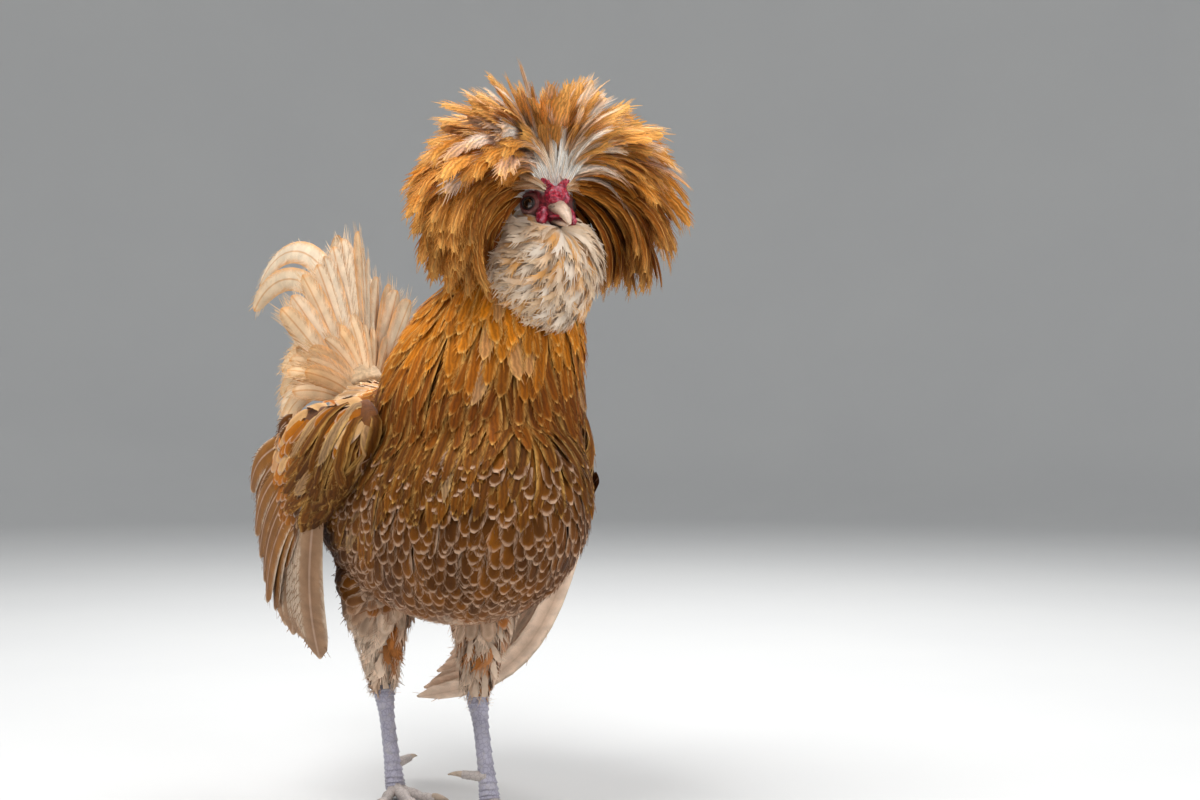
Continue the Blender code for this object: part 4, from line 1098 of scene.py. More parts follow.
def tuft(batch, draw, path, look, roll, half, colours, root_map, fray):
    """Short soft leaves with loose barbs; colours draws their tint, after their roll and their width."""
    n, rows = path.shape[:2]
    look = rolled(path, np.broadcast_to(look, path.shape), draw.normal(0, roll, n)[:, None])
    wide = widths(leaf_shape(eased(rows), 0.45, 0.7, 0.1), half, draw, n)
    batch.feathers(path, look, wide, colours(), root_map, draw, fray)


def brow(batch, draw):
    """Short soft feathers that leave the comb's foot and sweep out over the eyes into the crest."""
    n, rows = 140, 7
    t = eased(rows)
    for sign in (1, -1):
        u = draw.random(n)[:, None]
        first = np.array((HEAD_X + sign * 0.0074, -0.1560, 0.4268))
        last = np.array((HEAD_X + sign * 0.0128, -0.1390, 0.4316))
        start = first * (1 - u) + last * u + draw.normal(0, 0.0009, (n, 3))
        start[:, 2] += 0.0026 * draw.random(n)
        lift = draw.uniform(0.04, 1.25, n)
        go = unit(np.stack((np.full(n, sign * 0.80), 0.34 + 0.2 * draw.random(n), lift), -1))
        reach = draw.uniform(0.013, 0.022, n)
        path = straight(start, go, reach, t)
        path[..., 2] -= (0.10 + 0.12 * draw.random(n))[:, None] * reach[:, None] * t[None] ** 2
        path[..., 1] += 0.15 * reach[:, None] * t[None] ** 2

        def colours():
            cream = np.clip(1.1 - 1.3 * u - 0.7 * t[None], 0, 1) * draw.uniform(0.5, 1.0, (n, 1))
            gold = mix(GOLD, CREST_PALE, draw.random((n, 1)))
            return rgba(mix(gold, CREAM, cream), 0.3)

        root_map = np.stack((0.5 + sign * (0.10 + 0.3 * u[:, 0]), np.full(n, 0.98)), -1)
        fray = Fray(5, 0.25, 0.00018, 0.08, 1.6, 0.5)
        look = unit(np.array((sign * 0.25, -0.80, 0.55)))
        tuft(batch, draw, path, look, 0.3, 0.0011, colours, root_map, fray)


def forelock(batch, draw):
    """White down that stands up behind the comb and fans out over the foot of the crest."""
    n, rows = 140, 7
    t = eased(rows)
    aside = draw.uniform(-1, 1, n)
    y, z = -0.1530 + 0.004 * draw.random(n), 0.4300 + 0.003 * draw.random(n)
    start = np.stack((HEAD_X + 0.0085 * aside, y, z), -1)
    spread, lean = 0.75 * aside + draw.normal(0, 0.15, n), draw.uniform(-0.45, 0.05, n)
    go = unit(np.stack((spread, lean, np.ones(n)), -1))
    reach = draw.uniform(0.018, 0.048, n) * (1 - 0.30 * np.abs(aside))
    path = straight(start, go, reach, t)
    path[..., 1] += 0.35 * reach[:, None] * t[None] ** 2

    def colours():
        return rgba(mix(WHITE, CREST_PALE, 0.7 * (draw.random((n, 1)) < 0.2) * t[None]), 0.0)

    root_map = np.stack((0.5 + 0.08 * aside, np.full(n, 0.985)), -1)
    fray = Fray(6, 0.2, 0.0002, 0.06, 1.6, 0.5)
    tuft(batch, draw, path, unit(np.array((0.0, -0.9, 0.35))), 0.35, 0.0018, colours, root_map, fray)


def make_crest():
    """Long loose feathers that radiate from behind the comb, arch out and hang, with frayed tips."""
    draw = np.random.default_rng(41)
    batch = Batch()
    weights = CREST_ROWS[:, 1]
    total = np.concatenate(((0,), np.cumsum((weights[1:] + weights[:-1]) / 2)))
    n = LONG_FEATHERS
    level = np.interp(draw.random(n) * total[-1], total, np.arange(len(CREST_ROWS)))
    place = 2 * ((np.arange(n) * GOLDEN_PART) % 1.0) - 1
    turn = 180 - 180 * np.sign(place) * np.abs(place) ** 0.72 + draw.normal(0, 1.5, n)
    crest_layer(batch, draw, level, turn, draw.random(n) ** 0.7, scale=1.0, forward=0.010)
    n = SHORT_FEATHERS
    level = draw.uniform(0.2, 4.6, n)
    turn = np.where(draw.random(n) < 0.5, 1, -1) * draw.uniform(0.5, 26, n)
    crest_layer(batch, draw, level, turn, np.ones(n), scale=draw.uniform(0.40, 0.80, n), forward=0.0185)
    brow(batch, draw)
    forelock(batch, draw)
    material = feather_material("Crest", linear(238, 172, 84), 0.55, 1.05, shaft=CREST_TIP, dark=0.15,
                                barbs=7.0, strands=0.30)
    batch.make("crest_feathers", material, ("crest",))


def cheek_down(batch, draw):
    """Short pale feathers that leave the lids behind and below each eye and sweep back over the cheek."""
    n, rows = 55, 6
    t = eased(rows)
    level_up = np.array((0.0, 0.0, 1.0))
    for side, sign in SIDE.items():
        axis = unit(EYE_AXIS[side])
        flat = unit(np.cross(level_up, axis))
        turn = np.radians(draw.uniform(-135, 40, n))
        rear, upper = flat * np.sign(flat[1]), level_up - axis * axis[2]
        ring = rear * np.cos(turn)[:, None] + upper * np.sin(turn)[:, None]
        start = EYE[side] + ring * draw.uniform(0.0086, 0.0104, (n, 1)) + axis * 0.0004
        go = unit(ring + axis * draw.uniform(0.15, 0.55, (n, 1)) - level_up * 0.10)
        reach = draw.uniform(0.007, 0.013, n)
        path = straight(start, go, reach, t) - axis * (0.25 * reach[:, None] * t[None] ** 2)[..., None]
        root_map = np.stack((0.5 + sign * (0.2 + 0.05 * np.cos(turn)), 0.97 + 0.02 * np.sin(turn)), -1)

        def colours():
            return rgba(mix(linear(232, 220, 216), CREAM, np.tile(draw.random((n, 1)), (1, rows))), 1.0)

        tuft(batch, draw, path, axis, 0.3, 0.0014, colours, root_map, Fray(3, 0.3, 0.00022, 0.06, 1.5, 0.5))


BEARD_CENTRE = np.array((HEAD_X, -0.1410, 0.3800))
BEARD_SIZE = np.array((0.0305, 0.0275, 0.0350))
BEARD_RADIUS = 0.031
BEARD_POLE = unit(np.array((0.0, -0.78, 0.62)))


def make_beard():
    """Small soft feathers in layers that swirl out from under the beak over the beard and the muffs."""
    draw = np.random.default_rng(43)
    n, rows = 1000, 8
    right = np.array((1.0, 0.0, 0.0))
    down = np.cross(BEARD_POLE, right)
    place = np.arange(n) + 0.5
    apart = np.arccos(1 - 1.62 * np.maximum(place - 60, 0.05 * place) / n)
    around = GOLDEN_ANGLE * place + draw.normal(0, 0.05, n)
    t = eased(rows)
    reach = draw.uniform(0.75, 1.25, n) * (0.0145 + 0.0075 * np.maximum(0, np.cos(around)))
    lift = 0.0072 * draw.uniform(0.3, 1.35, n)
    swirl = draw.normal(0.16, 0.22, n)
    path, looks = np.zeros((n, rows, 3)), np.zeros((n, rows, 3))
    for k in range(rows):
        angle = apart + t[k] * reach / BEARD_RADIUS
        turn = around + swirl * t[k] ** 2
        across = (down * np.cos(turn)[:, None] + right * np.sin(turn)[:, None]) * np.sin(angle)[:, None]
        out = BEARD_POLE * np.cos(angle)[:, None] + across
        spot = out * BEARD_SIZE
        spot[:, 0] *= 1 - 0.22 * (np.maximum(0, -spot[:, 2]) / BEARD_SIZE[2]) ** 2
        looks[:, k] = unit(out / BEARD_SIZE)
        path[:, k] = BEARD_CENTRE + spot + looks[:, k] * (lift * t[k] ** 0.9)[:, None]
        path[:, k, 2] -= 0.0030 * t[k] ** 2
    tips = path[:, -1]
    clear = (far_from(tips, FACE, (0.85, 0.7, 1.0)) > 0.0135) & (tips[:, 2] < 0.4130)
    clear &= seen_clear(path, 0.0078)
    path, looks, apart, around = (part[clear] for part in (path, looks, apart, around))
    n = len(path)
    looks = rolled(path, looks, draw.normal(0, 0.30, n)[:, None])
    wide = widths(leaf_shape(t, 0.45, 0.7, 0.15), 0.0027, draw, n, 0.75, 1.2)
    fleck = smoothstep(0.0, 0.6, ripple(path[:, -1], 0.013, 51) * 0.5 + draw.normal(0, 0.45, n)) * 0.95
    base = mix(linear(232, 214, 194), linear(222, 190, 154), draw.random(n))
    run = smoothstep(0.15, 0.55, t) * (1 - 0.75 * smoothstep(0.75, 1.0, t))
    colour = mix(base[:, None], BUFF_LIGHT, fleck[:, None] * run[None]) * (0.86 + 0.14 * t)[None, :, None]
    tint = rgba(colour, 1.0)
    root_map = np.stack((0.02 + 0.96 * ((around % math.tau) / math.tau), 0.02 + 0.96 * apart / 2.4), -1)
    batch = Batch()
    fray = Fray(5, 0.30, 0.00034, 0.10, 1.45, 0.45)
    batch.feathers(path, looks, wide, tint, root_map, draw, fray, slim=0.8, cup=0.1)
    cheek_down(batch, draw)
    batch.make("beard_feathers", soft_material("Beard", 0.75), ("beard",))


# Wings and tail

COVERTS = (
    # count, part of the way to the wing's lower edge, lift over the wing, half width, colour
    (12, 0.58, 0.0018, 0.0100, BUFF),
    (13, 0.40, 0.0030, 0.0088, mix(BUFF, BROWN, 0.7)),
    (14, 0.26, 0.0040, 0.0078, BROWN),
)


def make_wing(side):
    """Primaries, secondaries and three tiers of coverts, from the wrist to the elbow."""
    sign = SIDE[side]
    draw = np.random.default_rng(61 + sign)
    wrist, elbow, low, high, tip, last = wing_places(side)
    arm = elbow - wrist
    out = unit(np.array((sign, -0.12, 0.10)))
    droop = {"left": np.array((0.014, -0.014, -0.036)), "right": np.array((-0.010, -0.012, -0.004))}[side]
    face = {"left": np.array((-0.15, -0.90, -0.40)), "right": np.array((-0.60, -0.78, -0.10))}[side]
    # Painted light: the left primaries get a much paler colour than the right ones, to lighten the side that
    # the lamps leave in shade
    primary = {"left": linear(240, 212, 188), "right": linear(180, 142, 110)}[side]
    batch = Batch()

    def tier(row, root, end, look, bow, half, rows, base, edge, swell, point):
        """Feathers that run from root to end and bow aside, at a row of the map."""
        n = len(root)
        colour = base * draw.uniform(0.88, 1.12, n)[:, None]
        tint = rgba(colour, edge)
        root_map = np.stack((np.linspace(0.05, 0.95, n), np.full(n, 0.1 + 0.2 * row)), -1)
        t = np.linspace(0, 1, rows)[None, :, None]
        path = root[:, None] * (1 - t) + end[:, None] * t + bow * np.sin(t * math.pi)
        looks = np.broadcast_to(look, path.shape)
        wide = np.tile(leaf_shape(np.linspace(0, 1, rows), 0.6, swell, point) * half, (n, 1))
        fray = Fray(10, 0.35, 0.0003, 0.03, 1.04, 0.7)
        batch.feathers(path, looks, wide, tint, root_map, draw, fray, cup=0.12, columns=4, thick=0.0003)

    n = 10
    t = np.linspace(0, 1, n)[:, None]
    root = wrist + arm * 0.30 * t - out * 0.0030
    end = tip + (last - tip) * t + draw.normal(0, 0.0015, (n, 3))
    tier(0, root, end, face, (droop * (1 - 0.5 * t))[:, None], 0.0105, 14, primary, 1.0, 0.7, 0.12)
    n = 12
    t = np.linspace(0, 1, n)[:, None]
    root = wrist + arm * (0.12 + 0.84 * t) + out * 0.0006
    end = low + (high - low) * t + draw.normal(0, 0.0018, (n, 3)) + out * 0.0006 * np.arange(n)[:, None]
    tier(1, root, end, out, (sign * 0.007, 0.0, 0.004), 0.0115, 12, linear(150, 98, 42), 0.9, 0.7, 0.25)
    for row, (n, part, lift, half, colour) in enumerate(COVERTS):
        t = np.linspace(0, 1, n)[:, None]
        root = wrist + arm * (0.04 + 0.92 * t) + out * (lift - 0.001) + (0, -0.006 * row, 0.007 * row)
        end = root + (low + (high - low) * t - root) * part + out * lift + draw.normal(0, 0.0012, (n, 3))
        tier(2 + row * 0.6, root, end, out, (sign * 0.002, 0.0, 0.002), half, 9, colour, 0.9, 0.62, 0.25)
    material = feather_material("Wing_" + side, mix(LACE, CREAM, 0.5), 0.68, 0.94, shaft=PINKISH, dark=0.40,
                                barbs=12.0)
    batch.make("wing_feathers_" + side, material, ("wing_" + side,))


TAIL_KINDS = (
    # pairs, first and last turn aside, rises, bend, power, lengths, half width, drop, place behind, rows
    (7, 4.0, 48.0, (80.0, 56.0), 10.0, 1.5, (0.124, 0.098), 0.0105, 0.012, 0.004, 14),
    (2, 7.0, 13.0, (75.0, 71.0), 120.0, 1.5, (0.240, 0.205), 0.0100, 0.000, 0.004, 22),
    (5, 14.0, 44.0, (64.0, 30.0), 112.0, 1.2, (0.120, 0.080), 0.0080, 0.010, 0.004, 14),
    (8, 4.0, 52.0, (76.0, 42.0), 42.0, 1.2, (0.085, 0.060), 0.0085, 0.010, 0.004, 10),
    (8, 4.0, 60.0, (66.0, 34.0), 52.0, 1.1, (0.062, 0.050), 0.0075, 0.016, 0.004, 9),
    (6, 5.0, 75.0, (74.0, 44.0), 34.0, 1.1, (0.066, 0.048), 0.0080, 0.010, -0.010, 9),
)


def make_tail():
    """Main feathers in two leaning halves, sickles that arch over them, and their coverts."""
    draw = np.random.default_rng(71)
    batch = Batch()
    for row, kind in enumerate(TAIL_KINDS):
        pairs, first, final, rise, bend, power, length, half, drop, behind, rows = kind
        n = 2 * pairs
        t = np.repeat(np.linspace(0, 1, pairs), 2)
        sign = np.tile((1.0, -1.0), pairs)
        away = np.radians(180.0 - sign * (first + (final - first) * t) + draw.normal(0, 2.0, n))
        steep = np.radians(rise[0] + (rise[1] - rise[0]) * t + draw.normal(0, 2.0, n))
        reach = (length[0] + (length[1] - length[0]) * t) * draw.uniform(0.96, 1.04, n)
        start = TAIL_ROOT + np.stack((sign * (0.004 + 0.006 * t), np.full(n, behind), 0.004 - drop * t), -1)
        run = eased(rows)
        path, _ = bent_lines(start, away, steep, np.full(n, math.radians(bend)), power, reach, run)
        look = unit(np.stack((sign, np.full(n, -0.70), np.full(n, 0.15)), -1))[:, None]
        look = rolled(path, np.broadcast_to(look, path.shape), draw.normal(0, 0.2, n)[:, None] * run[None])
        wide = widths(leaf_shape(run, 0.45, 0.75, 0.10), half, draw, n, 0.9, 1.1)
        gold = np.clip(0.15 + 0.5 * draw.random(n)[:, None] * (run[None] ** 1.5) + 0.3 * (row > 2), 0, 1)
        tint = rgba(mix(CREAM, GOLD_LIGHT, gold), 0.8)
        root_map = np.stack((np.linspace(0.04, 0.96, n), np.full(n, 0.1 + 0.18 * row)), -1)
        fray = Fray(22, 0.18, 0.0003, 0.05, 1.08, 0.6)
        batch.feathers(path, look, wide, tint, root_map, draw, fray, cup=0.2, columns=4, thick=0.0003)
    material = feather_material("Tail", linear(230, 168, 104), 0.55, 0.98, shaft=linear(206, 138, 72))
    batch.make("tail_feathers", material, ("tail",))


# Head

# Lids from the rim on the ball outward and back underneath: distance from the middle, height
LID_PROFILE = (
    (0.0040, 0.0044), (0.0042, 0.0050), (0.0046, 0.0053), (0.0050, 0.0051), (0.0053, 0.0045),
    (0.0056, 0.0043), (0.0060, 0.0044), (0.0064, 0.0040), (0.0067, 0.0034), (0.0071, 0.0033),
    (0.0075, 0.0029), (0.0080, 0.0021), (0.0086, 0.0014), (0.0094, 0.0002), (0.0104, -0.0020),
    (0.0092, -0.0040), (0.0062, -0.0012), (0.0044, 0.0026),
)
LID_OPENING = 0.86
EYE_RADIUS = 0.0060


def make_eye(side, eye_look, lid_look):
    """A ball with a pupil and an iris, and folded lids round it."""
    axis = unit(EYE_AXIS[side])
    centre = EYE[side] + np.array((SIDE[side] * 0.0010, 0.0004, 0.0))
    ball = ellipsoid("eyeball_" + side, centre, (EYE_RADIUS,) * 3, 48, 32)
    off = np.degrees(np.arccos(np.clip(unit(vectors_of(ball) - SHIFT - centre) @ axis, -1, 1)))
    iris = mix(linear(74, 50, 30), linear(20, 12, 8), smoothstep(27, 38, off))
    set_tint(ball, rgba(mix(np.full(3, 0.0015), iris, smoothstep(16, 20, off)), 1.0))
    settle(ball, eye_look, ("eye_" + side,))

    profile = np.array(LID_PROFILE) * (LID_OPENING, 1.0) + (0, 0.0005)
    around, across = 72, len(profile)
    out, height = profile[None, :, 0], profile[None, :, 1]
    a = math.tau * np.arange(around)[:, None] / around
    low = smoothstep(0.1, 1.0, -np.sin(a))
    ripples = 0.02 * np.sin(7 * a) + 0.012 * np.sin(17 * a + 1)
    radius = out * (1 + ripples * smoothstep(0.0045, 0.0070, out))
    lift = height + low * 0.0006 * np.exp(-((out - 0.0062) / 0.0012) ** 2)
    flat = unit(np.cross(np.array((0.0, 0.0, 1.0)), axis))
    points = centre + lift[..., None] * axis + (radius * np.cos(a) * 1.06)[..., None] * flat
    points = points + (radius * np.sin(a) * (0.96 - 0.04 * low))[..., None] * np.cross(axis, flat)
    k, j = np.meshgrid(np.arange(around), np.arange(across), indexing="ij")
    after, over = (k + 1) % around, (j + 1) % across
    corners = (k * across + j, after * across + j, after * across + over, k * across + over)
    lids = mesh_object("lids_" + side, points.reshape(-1, 3), np.stack(corners, -1).reshape(-1, 4))
    with opened(lids) as work:
        bmesh.ops.recalc_face_normals(work, faces=work.faces)
    lids.data.shade_smooth()
    part = np.broadcast_to(out, (around, across))
    beakward = smoothstep(0.0, 0.8, np.cos(a) * -np.sign(flat[1]))
    colour = mix(linear(34, 18, 14), linear(104, 44, 40), smoothstep(0.0044, 0.0053, part))
    pink = np.clip(0.55 + 0.4 * low - 0.5 * beakward, 0, 1) * smoothstep(0.0050, 0.0060, part)
    set_tint(lids, rgba(mix(colour, linear(158, 116, 110), pink), 1.0))
    settle(lids, lid_look)


def make_beak(flesh):
    """A ridged upper bill with nostrils and a sharp lower edge, a slimmer lower one, and the mouth."""
    def ridge(t, turn):
        flank = 0.20 * np.sin(2 * turn) ** 2 * (np.cos(turn) < 0) * (1 - 0.3 * t)
        return 1 - flank + 0.008 * np.sin(t * 60) * (t < 0.5)

    upper = loft("upper_bill", (
        (HEAD_X, -0.1530, 0.4158, 0.0078, 0.0050),
        (HEAD_X, -0.1585, 0.4156, 0.0074, 0.0050),
        (HEAD_X, -0.1640, 0.4140, 0.0062, 0.0048),
        (HEAD_X, -0.1690, 0.4112, 0.0046, 0.0042),
        (HEAD_X, -0.1732, 0.4076, 0.0030, 0.0032),
        (HEAD_X, -0.1766, 0.4036, 0.0011, 0.0015),
    ), 72, 56, bulge=ridge)
    nostril_size, nostril_depth = np.array((0.004, 0.0022, 0.0010)), 0.32
    nostrils = [np.array((HEAD_X + sign * 0.0056, -0.1630, 0.4152)) for sign in (1, -1)]
    for vert, spot in product(upper.data.vertices, nostrils):
        part = np.linalg.norm((np.array(vert.co) - SHIFT - spot) / nostril_size)
        if part < 1:
            vert.co.x += (HEAD_X + SHIFT[0] - vert.co.x) * nostril_depth * (1 - part ** 2) ** 1.5
    lower = loft("lower_bill", (
        (HEAD_X, -0.1520, 0.4072, 0.0054, 0.0023),
        (HEAD_X, -0.1600, 0.4059, 0.0046, 0.0022),
        (HEAD_X, -0.1655, 0.4046, 0.0035, 0.0019),
        (HEAD_X, -0.1700, 0.4033, 0.0021, 0.0014),
        (HEAD_X, -0.1718, 0.4027, 0.0009, 0.0007),
    ), 40, 36)
    bill_tip, bill_root = -0.1760 + SHIFT[1], -0.1530 + SHIFT[1]
    pale, dark = linear(224, 194, 170), linear(104, 82, 68)
    for made, node in ((upper, "beak_upper"), (lower, "beak_lower")):
        settle(made, horn_material("Horn_" + node, pale, dark, 1, bill_tip, bill_root), (node,))
    mouth = ellipsoid("mouth_line", (HEAD_X, -0.1600, 0.4092), (0.0070, 0.0110, 0.0013), 28, 14)
    fused(mouth, voxel=0.0003, rounds=1)
    settle(mouth, flesh)


def grain(spot, size, segments=8, rings=6):
    return ellipsoid("grain", spot, (size, size, size), segments, rings)


def make_comb(flesh):
    """A V of two short horns over a mass of grains that runs down onto the bill, and grained wattles."""
    draw = np.random.default_rng(81)
    pieces = [
        ellipsoid("base", (HEAD_X, -0.1556, 0.4238), (0.0076, 0.0058, 0.0060)),
        ellipsoid("foot", (HEAD_X, -0.1586, 0.4200), (0.0066, 0.0044, 0.0034)),
    ]
    for sign in (1, -1):
        pieces.append(loft("horn", (
            (HEAD_X + sign * 0.0026, -0.1545, 0.4262, 0.0034, 0.0040),
            (HEAD_X + sign * 0.0052, -0.1538, 0.4294, 0.0031, 0.0036),
            (HEAD_X + sign * 0.0076, -0.1530, 0.4324, 0.0022, 0.0025),
            (HEAD_X + sign * 0.0090, -0.1524, 0.4350, 0.0008, 0.0009),
        ), 16, 16))
        for _ in range(26):
            part = draw.random()
            aside, ahead = sign * (0.0026 + 0.0056 * part), 0.0034 * (1 - 0.5 * part)
            spot = np.array((HEAD_X + aside, -0.1545 - ahead, 0.4262 + 0.0072 * part))
            size = draw.uniform(0.0005, 0.0011)
            pieces.append(grain(spot + draw.normal(0, 0.0009, 3), size))
    for _ in range(120):
        turn, lift = draw.uniform(0, math.tau), draw.uniform(-0.9, 0.9)
        flat = math.sqrt(1 - lift * lift)
        aside = 0.0074 * flat * math.cos(turn)
        ahead = 0.0056 * abs(flat * math.sin(turn)) + 0.0014 * (lift < 0)
        spot = np.array((HEAD_X + aside, -0.1562 - ahead, 0.4226 + 0.0066 * lift))
        pieces.append(grain(spot, draw.uniform(0.0008, 0.0017), 10, 8))
    comb = joined("comb_grains", pieces)
    fused(comb, voxel=0.0004, rounds=1)
    settle(comb, flesh, ("comb",))
    for side, sign in SIDE.items():
        stations = np.array((
            (HEAD_X + sign * 0.0080, -0.1545, 0.4150, 0.0024, 0.0034),
            (HEAD_X + sign * 0.0098, -0.1552, 0.4108, 0.0032, 0.0046),
            (HEAD_X + sign * 0.0106, -0.1556, 0.4062, 0.0034, 0.0048),
            (HEAD_X + sign * 0.0102, -0.1552, 0.4026, 0.0016, 0.0026),
        ))
        pieces = [loft("lobe", stations, 34, 32)]
        for _ in range(60):
            row = spline(stations, np.array([draw.random()]))[0]
            turn = draw.uniform(0, math.tau)
            spot = row[:3] + np.array((row[3] * math.sin(turn), row[4] * math.cos(turn), 0))
            pieces.append(grain(spot, draw.uniform(0.0006, 0.0013)))
        wattle = joined("wattle_skin_" + side, pieces)
        fused(wattle, voxel=0.0004, rounds=1)
        settle(wattle, flesh, ("wattle_" + side,))


# Legs

# Part of the way up from the ankle to the hock, half width and half depth
SHANK = ((1.06, 0.0058, 0.0064), (0.94, 0.0070, 0.0078), (0.70, 0.0052, 0.0057), (0.30, 0.0054, 0.0059),
         (0.04, 0.0066, 0.0070), (-0.04, 0.0068, 0.0070))
# Turn to the side, length and thickness of the toes ahead
TOES = {"inner": (-34.0, 0.040, 0.96), "middle": (3.0, 0.054, 1.08), "outer": (38.0, 0.044, 0.92)}
TOE_RADIUS = 0.0043
TOE_PART = 0.82
TOE_PLATES_A_METRE = 420
CLAW_LENGTH = 0.0130


def scutes(count, height):
    """Plates that overlap down the front of a shank or the top of a toe, with small scales behind."""
    def bulge(t, turn):
        front = smoothstep(-0.1, 0.55, -np.cos(turn))
        step = (t * count + 0.12 * np.sin(turn * 2)) % 1.0
        small = height * 0.45 * np.abs(np.sin(turn * 7)) * np.abs(np.sin(t * count * 1.6 * math.pi))
        return 1 + height * (step ** 1.6) * front + small * (1 - front)
    return bulge


def leg_piece(name, stations, rings, sides, material, node, bulge=None):
    """A loft of the leg that doesn't pass the floor, a little uneven in its grey."""
    made = loft(name, stations, rings, sides, bulge=bulge)
    for vert in made.data.vertices:
        vert.co.z = max(vert.co.z, SHIFT[2])
    grey = 0.90 + 0.10 * ripple(vectors_of(made), 0.02, 91)
    set_tint(made, rgba(np.repeat(grey[:, None], 3, 1), 1.0))
    settle(made, material, (node,))


def make_legs():
    """Scaled shanks, three toes ahead and one behind, and their claws."""
    shank_look = scale_material("Shank", linear(184, 180, 196), linear(106, 104, 124))
    toe_look = scale_material("Toe", linear(196, 184, 178), linear(120, 110, 108))
    claw_look = horn_material("Claw", linear(186, 166, 146), linear(96, 80, 70), 2, 0.004, 0.0005, 0.42)
    for side, sign in SIDE.items():
        hock, foot = HOCK[side], FOOT[side]
        ankle = foot + np.array((0, 0, 0.010))
        rise = hock - ankle
        stations = [(*(ankle + rise * part), wide, deep) for part, wide, deep in SHANK]
        leg_piece("shank_scales_" + side, stations, 150, 36, shank_look, "shank_" + side,
                  scutes(17, 0.20))
        for name, (turn, length, thick) in TOES.items():
            turn = math.radians(turn * sign)
            ahead = np.array((math.sin(turn), -math.cos(turn), 0))
            radius = TOE_RADIUS * thick
            start = foot + ahead * 0.0030
            stations = []
            for part in np.linspace(-0.08, 1.0, 10):
                swell = radius * (1.0 - 0.28 * part + 0.07 * math.cos(part * math.tau * 2.5))
                x, y, _ = start + ahead * length * TOE_PART * part
                stations.append((x, y, swell * 0.80 + 0.0040 * (1 - part) ** 2, swell, swell * 0.95))
            leg_piece(f"toe_scales_{name}_{side}", stations, 84, 28, toe_look, f"toe_{name}_{side}",
                      scutes(int(length * TOE_PLATES_A_METRE), 0.11))
            stations = []
            for part in np.linspace(-0.15, 1.0, 7):
                size = 0.0024 * (1 - max(part, 0)) ** 0.8 + 0.0004
                x, y, _ = start + ahead * (length * TOE_PART + CLAW_LENGTH * part)
                stations.append((x, y, 0.0038 + 0.0014 * part - 0.0036 * part ** 2, size * 0.85, size * 1.15))
            leg_piece(f"claw_horn_{name}_{side}", stations, 24, 18, claw_look, f"claw_{name}_{side}")
        back = unit(np.array((-sign * 0.80, 0.60, 0.0)))
        start = ankle + np.array((0, 0, 0.015)) + back * 0.0035
        stations = []
        for part in (-0.1, 0.25, 0.6, 1.0):
            radius = 0.0038 - 0.0010 * part
            stations.append((*(start + back * 0.016 * part + np.array((0, 0, 0.001 * part))), radius, radius))
        leg_piece("toe_scales_hind_" + side, stations, 34, 22, toe_look, "toe_hind_" + side,
                  scutes(6, 0.10))
        stations = []
        for part in np.linspace(-0.15, 1.0, 6):
            size = 0.0021 * (1 - max(part, 0)) ** 0.8 + 0.0004
            x, y, z = start + back * (0.0160 + 0.0105 * part)
            stations.append((x, y, z + 0.0010 + 0.0020 * part - 0.0024 * part ** 2, size, size))
        leg_piece("claw_horn_hind_" + side, stations, 20, 16, claw_look, "claw_hind_" + side)


# Stage

CAMERA_TURN = math.radians(-27)
CAMERA_AWAY = 1.35
CAMERA_ASIDE = 0.1149
CAMERA_HEIGHT = 0.2908
# The focal length in pixels of the photo, and the photo's width in them
PIXEL_FOCUS = 1880
PIXEL_WIDTH = 1200
SENSOR = 36
LIGHTS = (
    # name, to the right, towards the camera, up, power, size
    ("Key", -0.55, 0.75, 1.75, 43.0, 1.2),
    ("Fill", 1.3, 1.2, 0.8, 13.0, 1.4),
    ("Rim", 0.3, -1.2, 1.6, 32.0, 1.0),
)
FLOOR_LEVEL = -0.0002
FLAT_RADIUS = 3.2
BOWL = 1.2


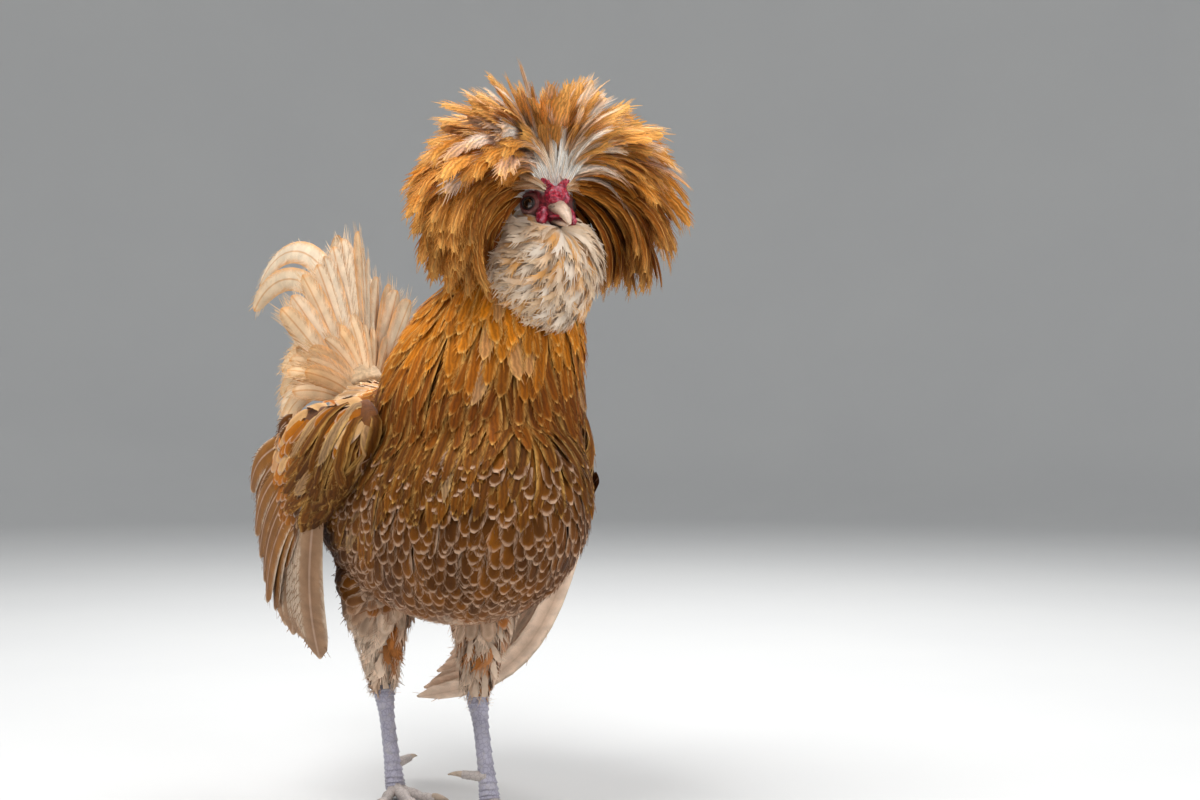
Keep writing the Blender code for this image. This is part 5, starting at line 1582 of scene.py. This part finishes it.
def make_floor():
    """A level pale disc whose rim curves up into a wall."""
    sides = 96
    rings = [(radius, FLOOR_LEVEL) for radius in (0.4, 1.0, 2.0, FLAT_RADIUS)]
    for turn in np.radians(range(12, 96, 12)):
        rings.append((FLAT_RADIUS + BOWL * math.sin(turn), BOWL - BOWL * math.cos(turn)))
    rings += [(FLAT_RADIUS + BOWL, height) for height in (1.6, 2.4)]
    points = [(0.0, 0.0, FLOOR_LEVEL)]
    for (radius, height), turn in product(rings, math.tau * np.arange(sides) / sides):
        points.append((radius * math.cos(turn), radius * math.sin(turn), height))
    faces = [(0, 1 + k, 1 + (k + 1) % sides) for k in range(sides)]
    for row, k in product(range(len(rings) - 1), range(sides)):
        first, after = 1 + row * sides + k, 1 + row * sides + (k + 1) % sides
        faces.append((first, first + sides, after + sides, after))
    mesh = bpy.data.meshes.new("floor")
    mesh.from_pydata(points, [], faces)
    mesh.shade_smooth()
    pale = Shade("Floor", 0.8, specular=0.15)
    pale.colour(pale.mix(pale.noise(3.0, 4.0), (0.62, 0.62, 0.62), (0.66, 0.66, 0.65)))
    mesh.materials.append(pale.material)
    added("floor", mesh)


def set_stage():
    """Pale floor, soft studio light and the photo's camera."""
    scene = bpy.context.scene
    scene.view_settings.view_transform = "Standard"
    right = Vector((math.cos(CAMERA_TURN), math.sin(CAMERA_TURN), 0))
    back = Vector((math.sin(CAMERA_TURN), -math.cos(CAMERA_TURN), 0))
    camera = added("Camera", bpy.data.cameras.new("Camera"))
    camera.data.sensor_width = SENSOR
    camera.data.lens = PIXEL_FOCUS * SENSOR / PIXEL_WIDTH
    camera.location = Vector(SHIFT) + right * CAMERA_ASIDE + back * CAMERA_AWAY
    camera.location.z += CAMERA_HEIGHT
    camera.rotation_euler = (math.radians(90), 0, CAMERA_TURN)
    scene.camera = camera
    make_floor()
    world = bpy.data.worlds.new("Studio")
    world.use_nodes = True
    background = world.node_tree.nodes["Background"]
    background.inputs["Color"].default_value = (0.90, 0.93, 0.96, 1.0)
    background.inputs["Strength"].default_value = 0.40
    scene.world = world
    middle = Vector((0, 0, 0.28)) + Vector(SHIFT)
    for name, aside, away, height, power, size in LIGHTS:
        lamp = added(name, bpy.data.lights.new(name, "AREA"))
        lamp.data.energy = power
        lamp.data.size = size
        lamp.location = middle + right * aside + back * away + Vector((0, 0, height))
        lamp.rotation_euler = (middle - lamp.location).to_track_quat("-Z", "Y").to_euler()


set_stage()
skin_object, skin_points = make_skin()
make_coat(Ground(skin_object, skin_points))
make_crest()
make_beard()
eyeball_look, folded_look, flesh_look = eye_material(), lid_material(), flesh_material()
for side_name in SIDE:
    make_wing(side_name)
    make_eye(side_name, eyeball_look, folded_look)
make_tail()
make_beak(flesh_look)
make_comb(flesh_look)
make_legs()
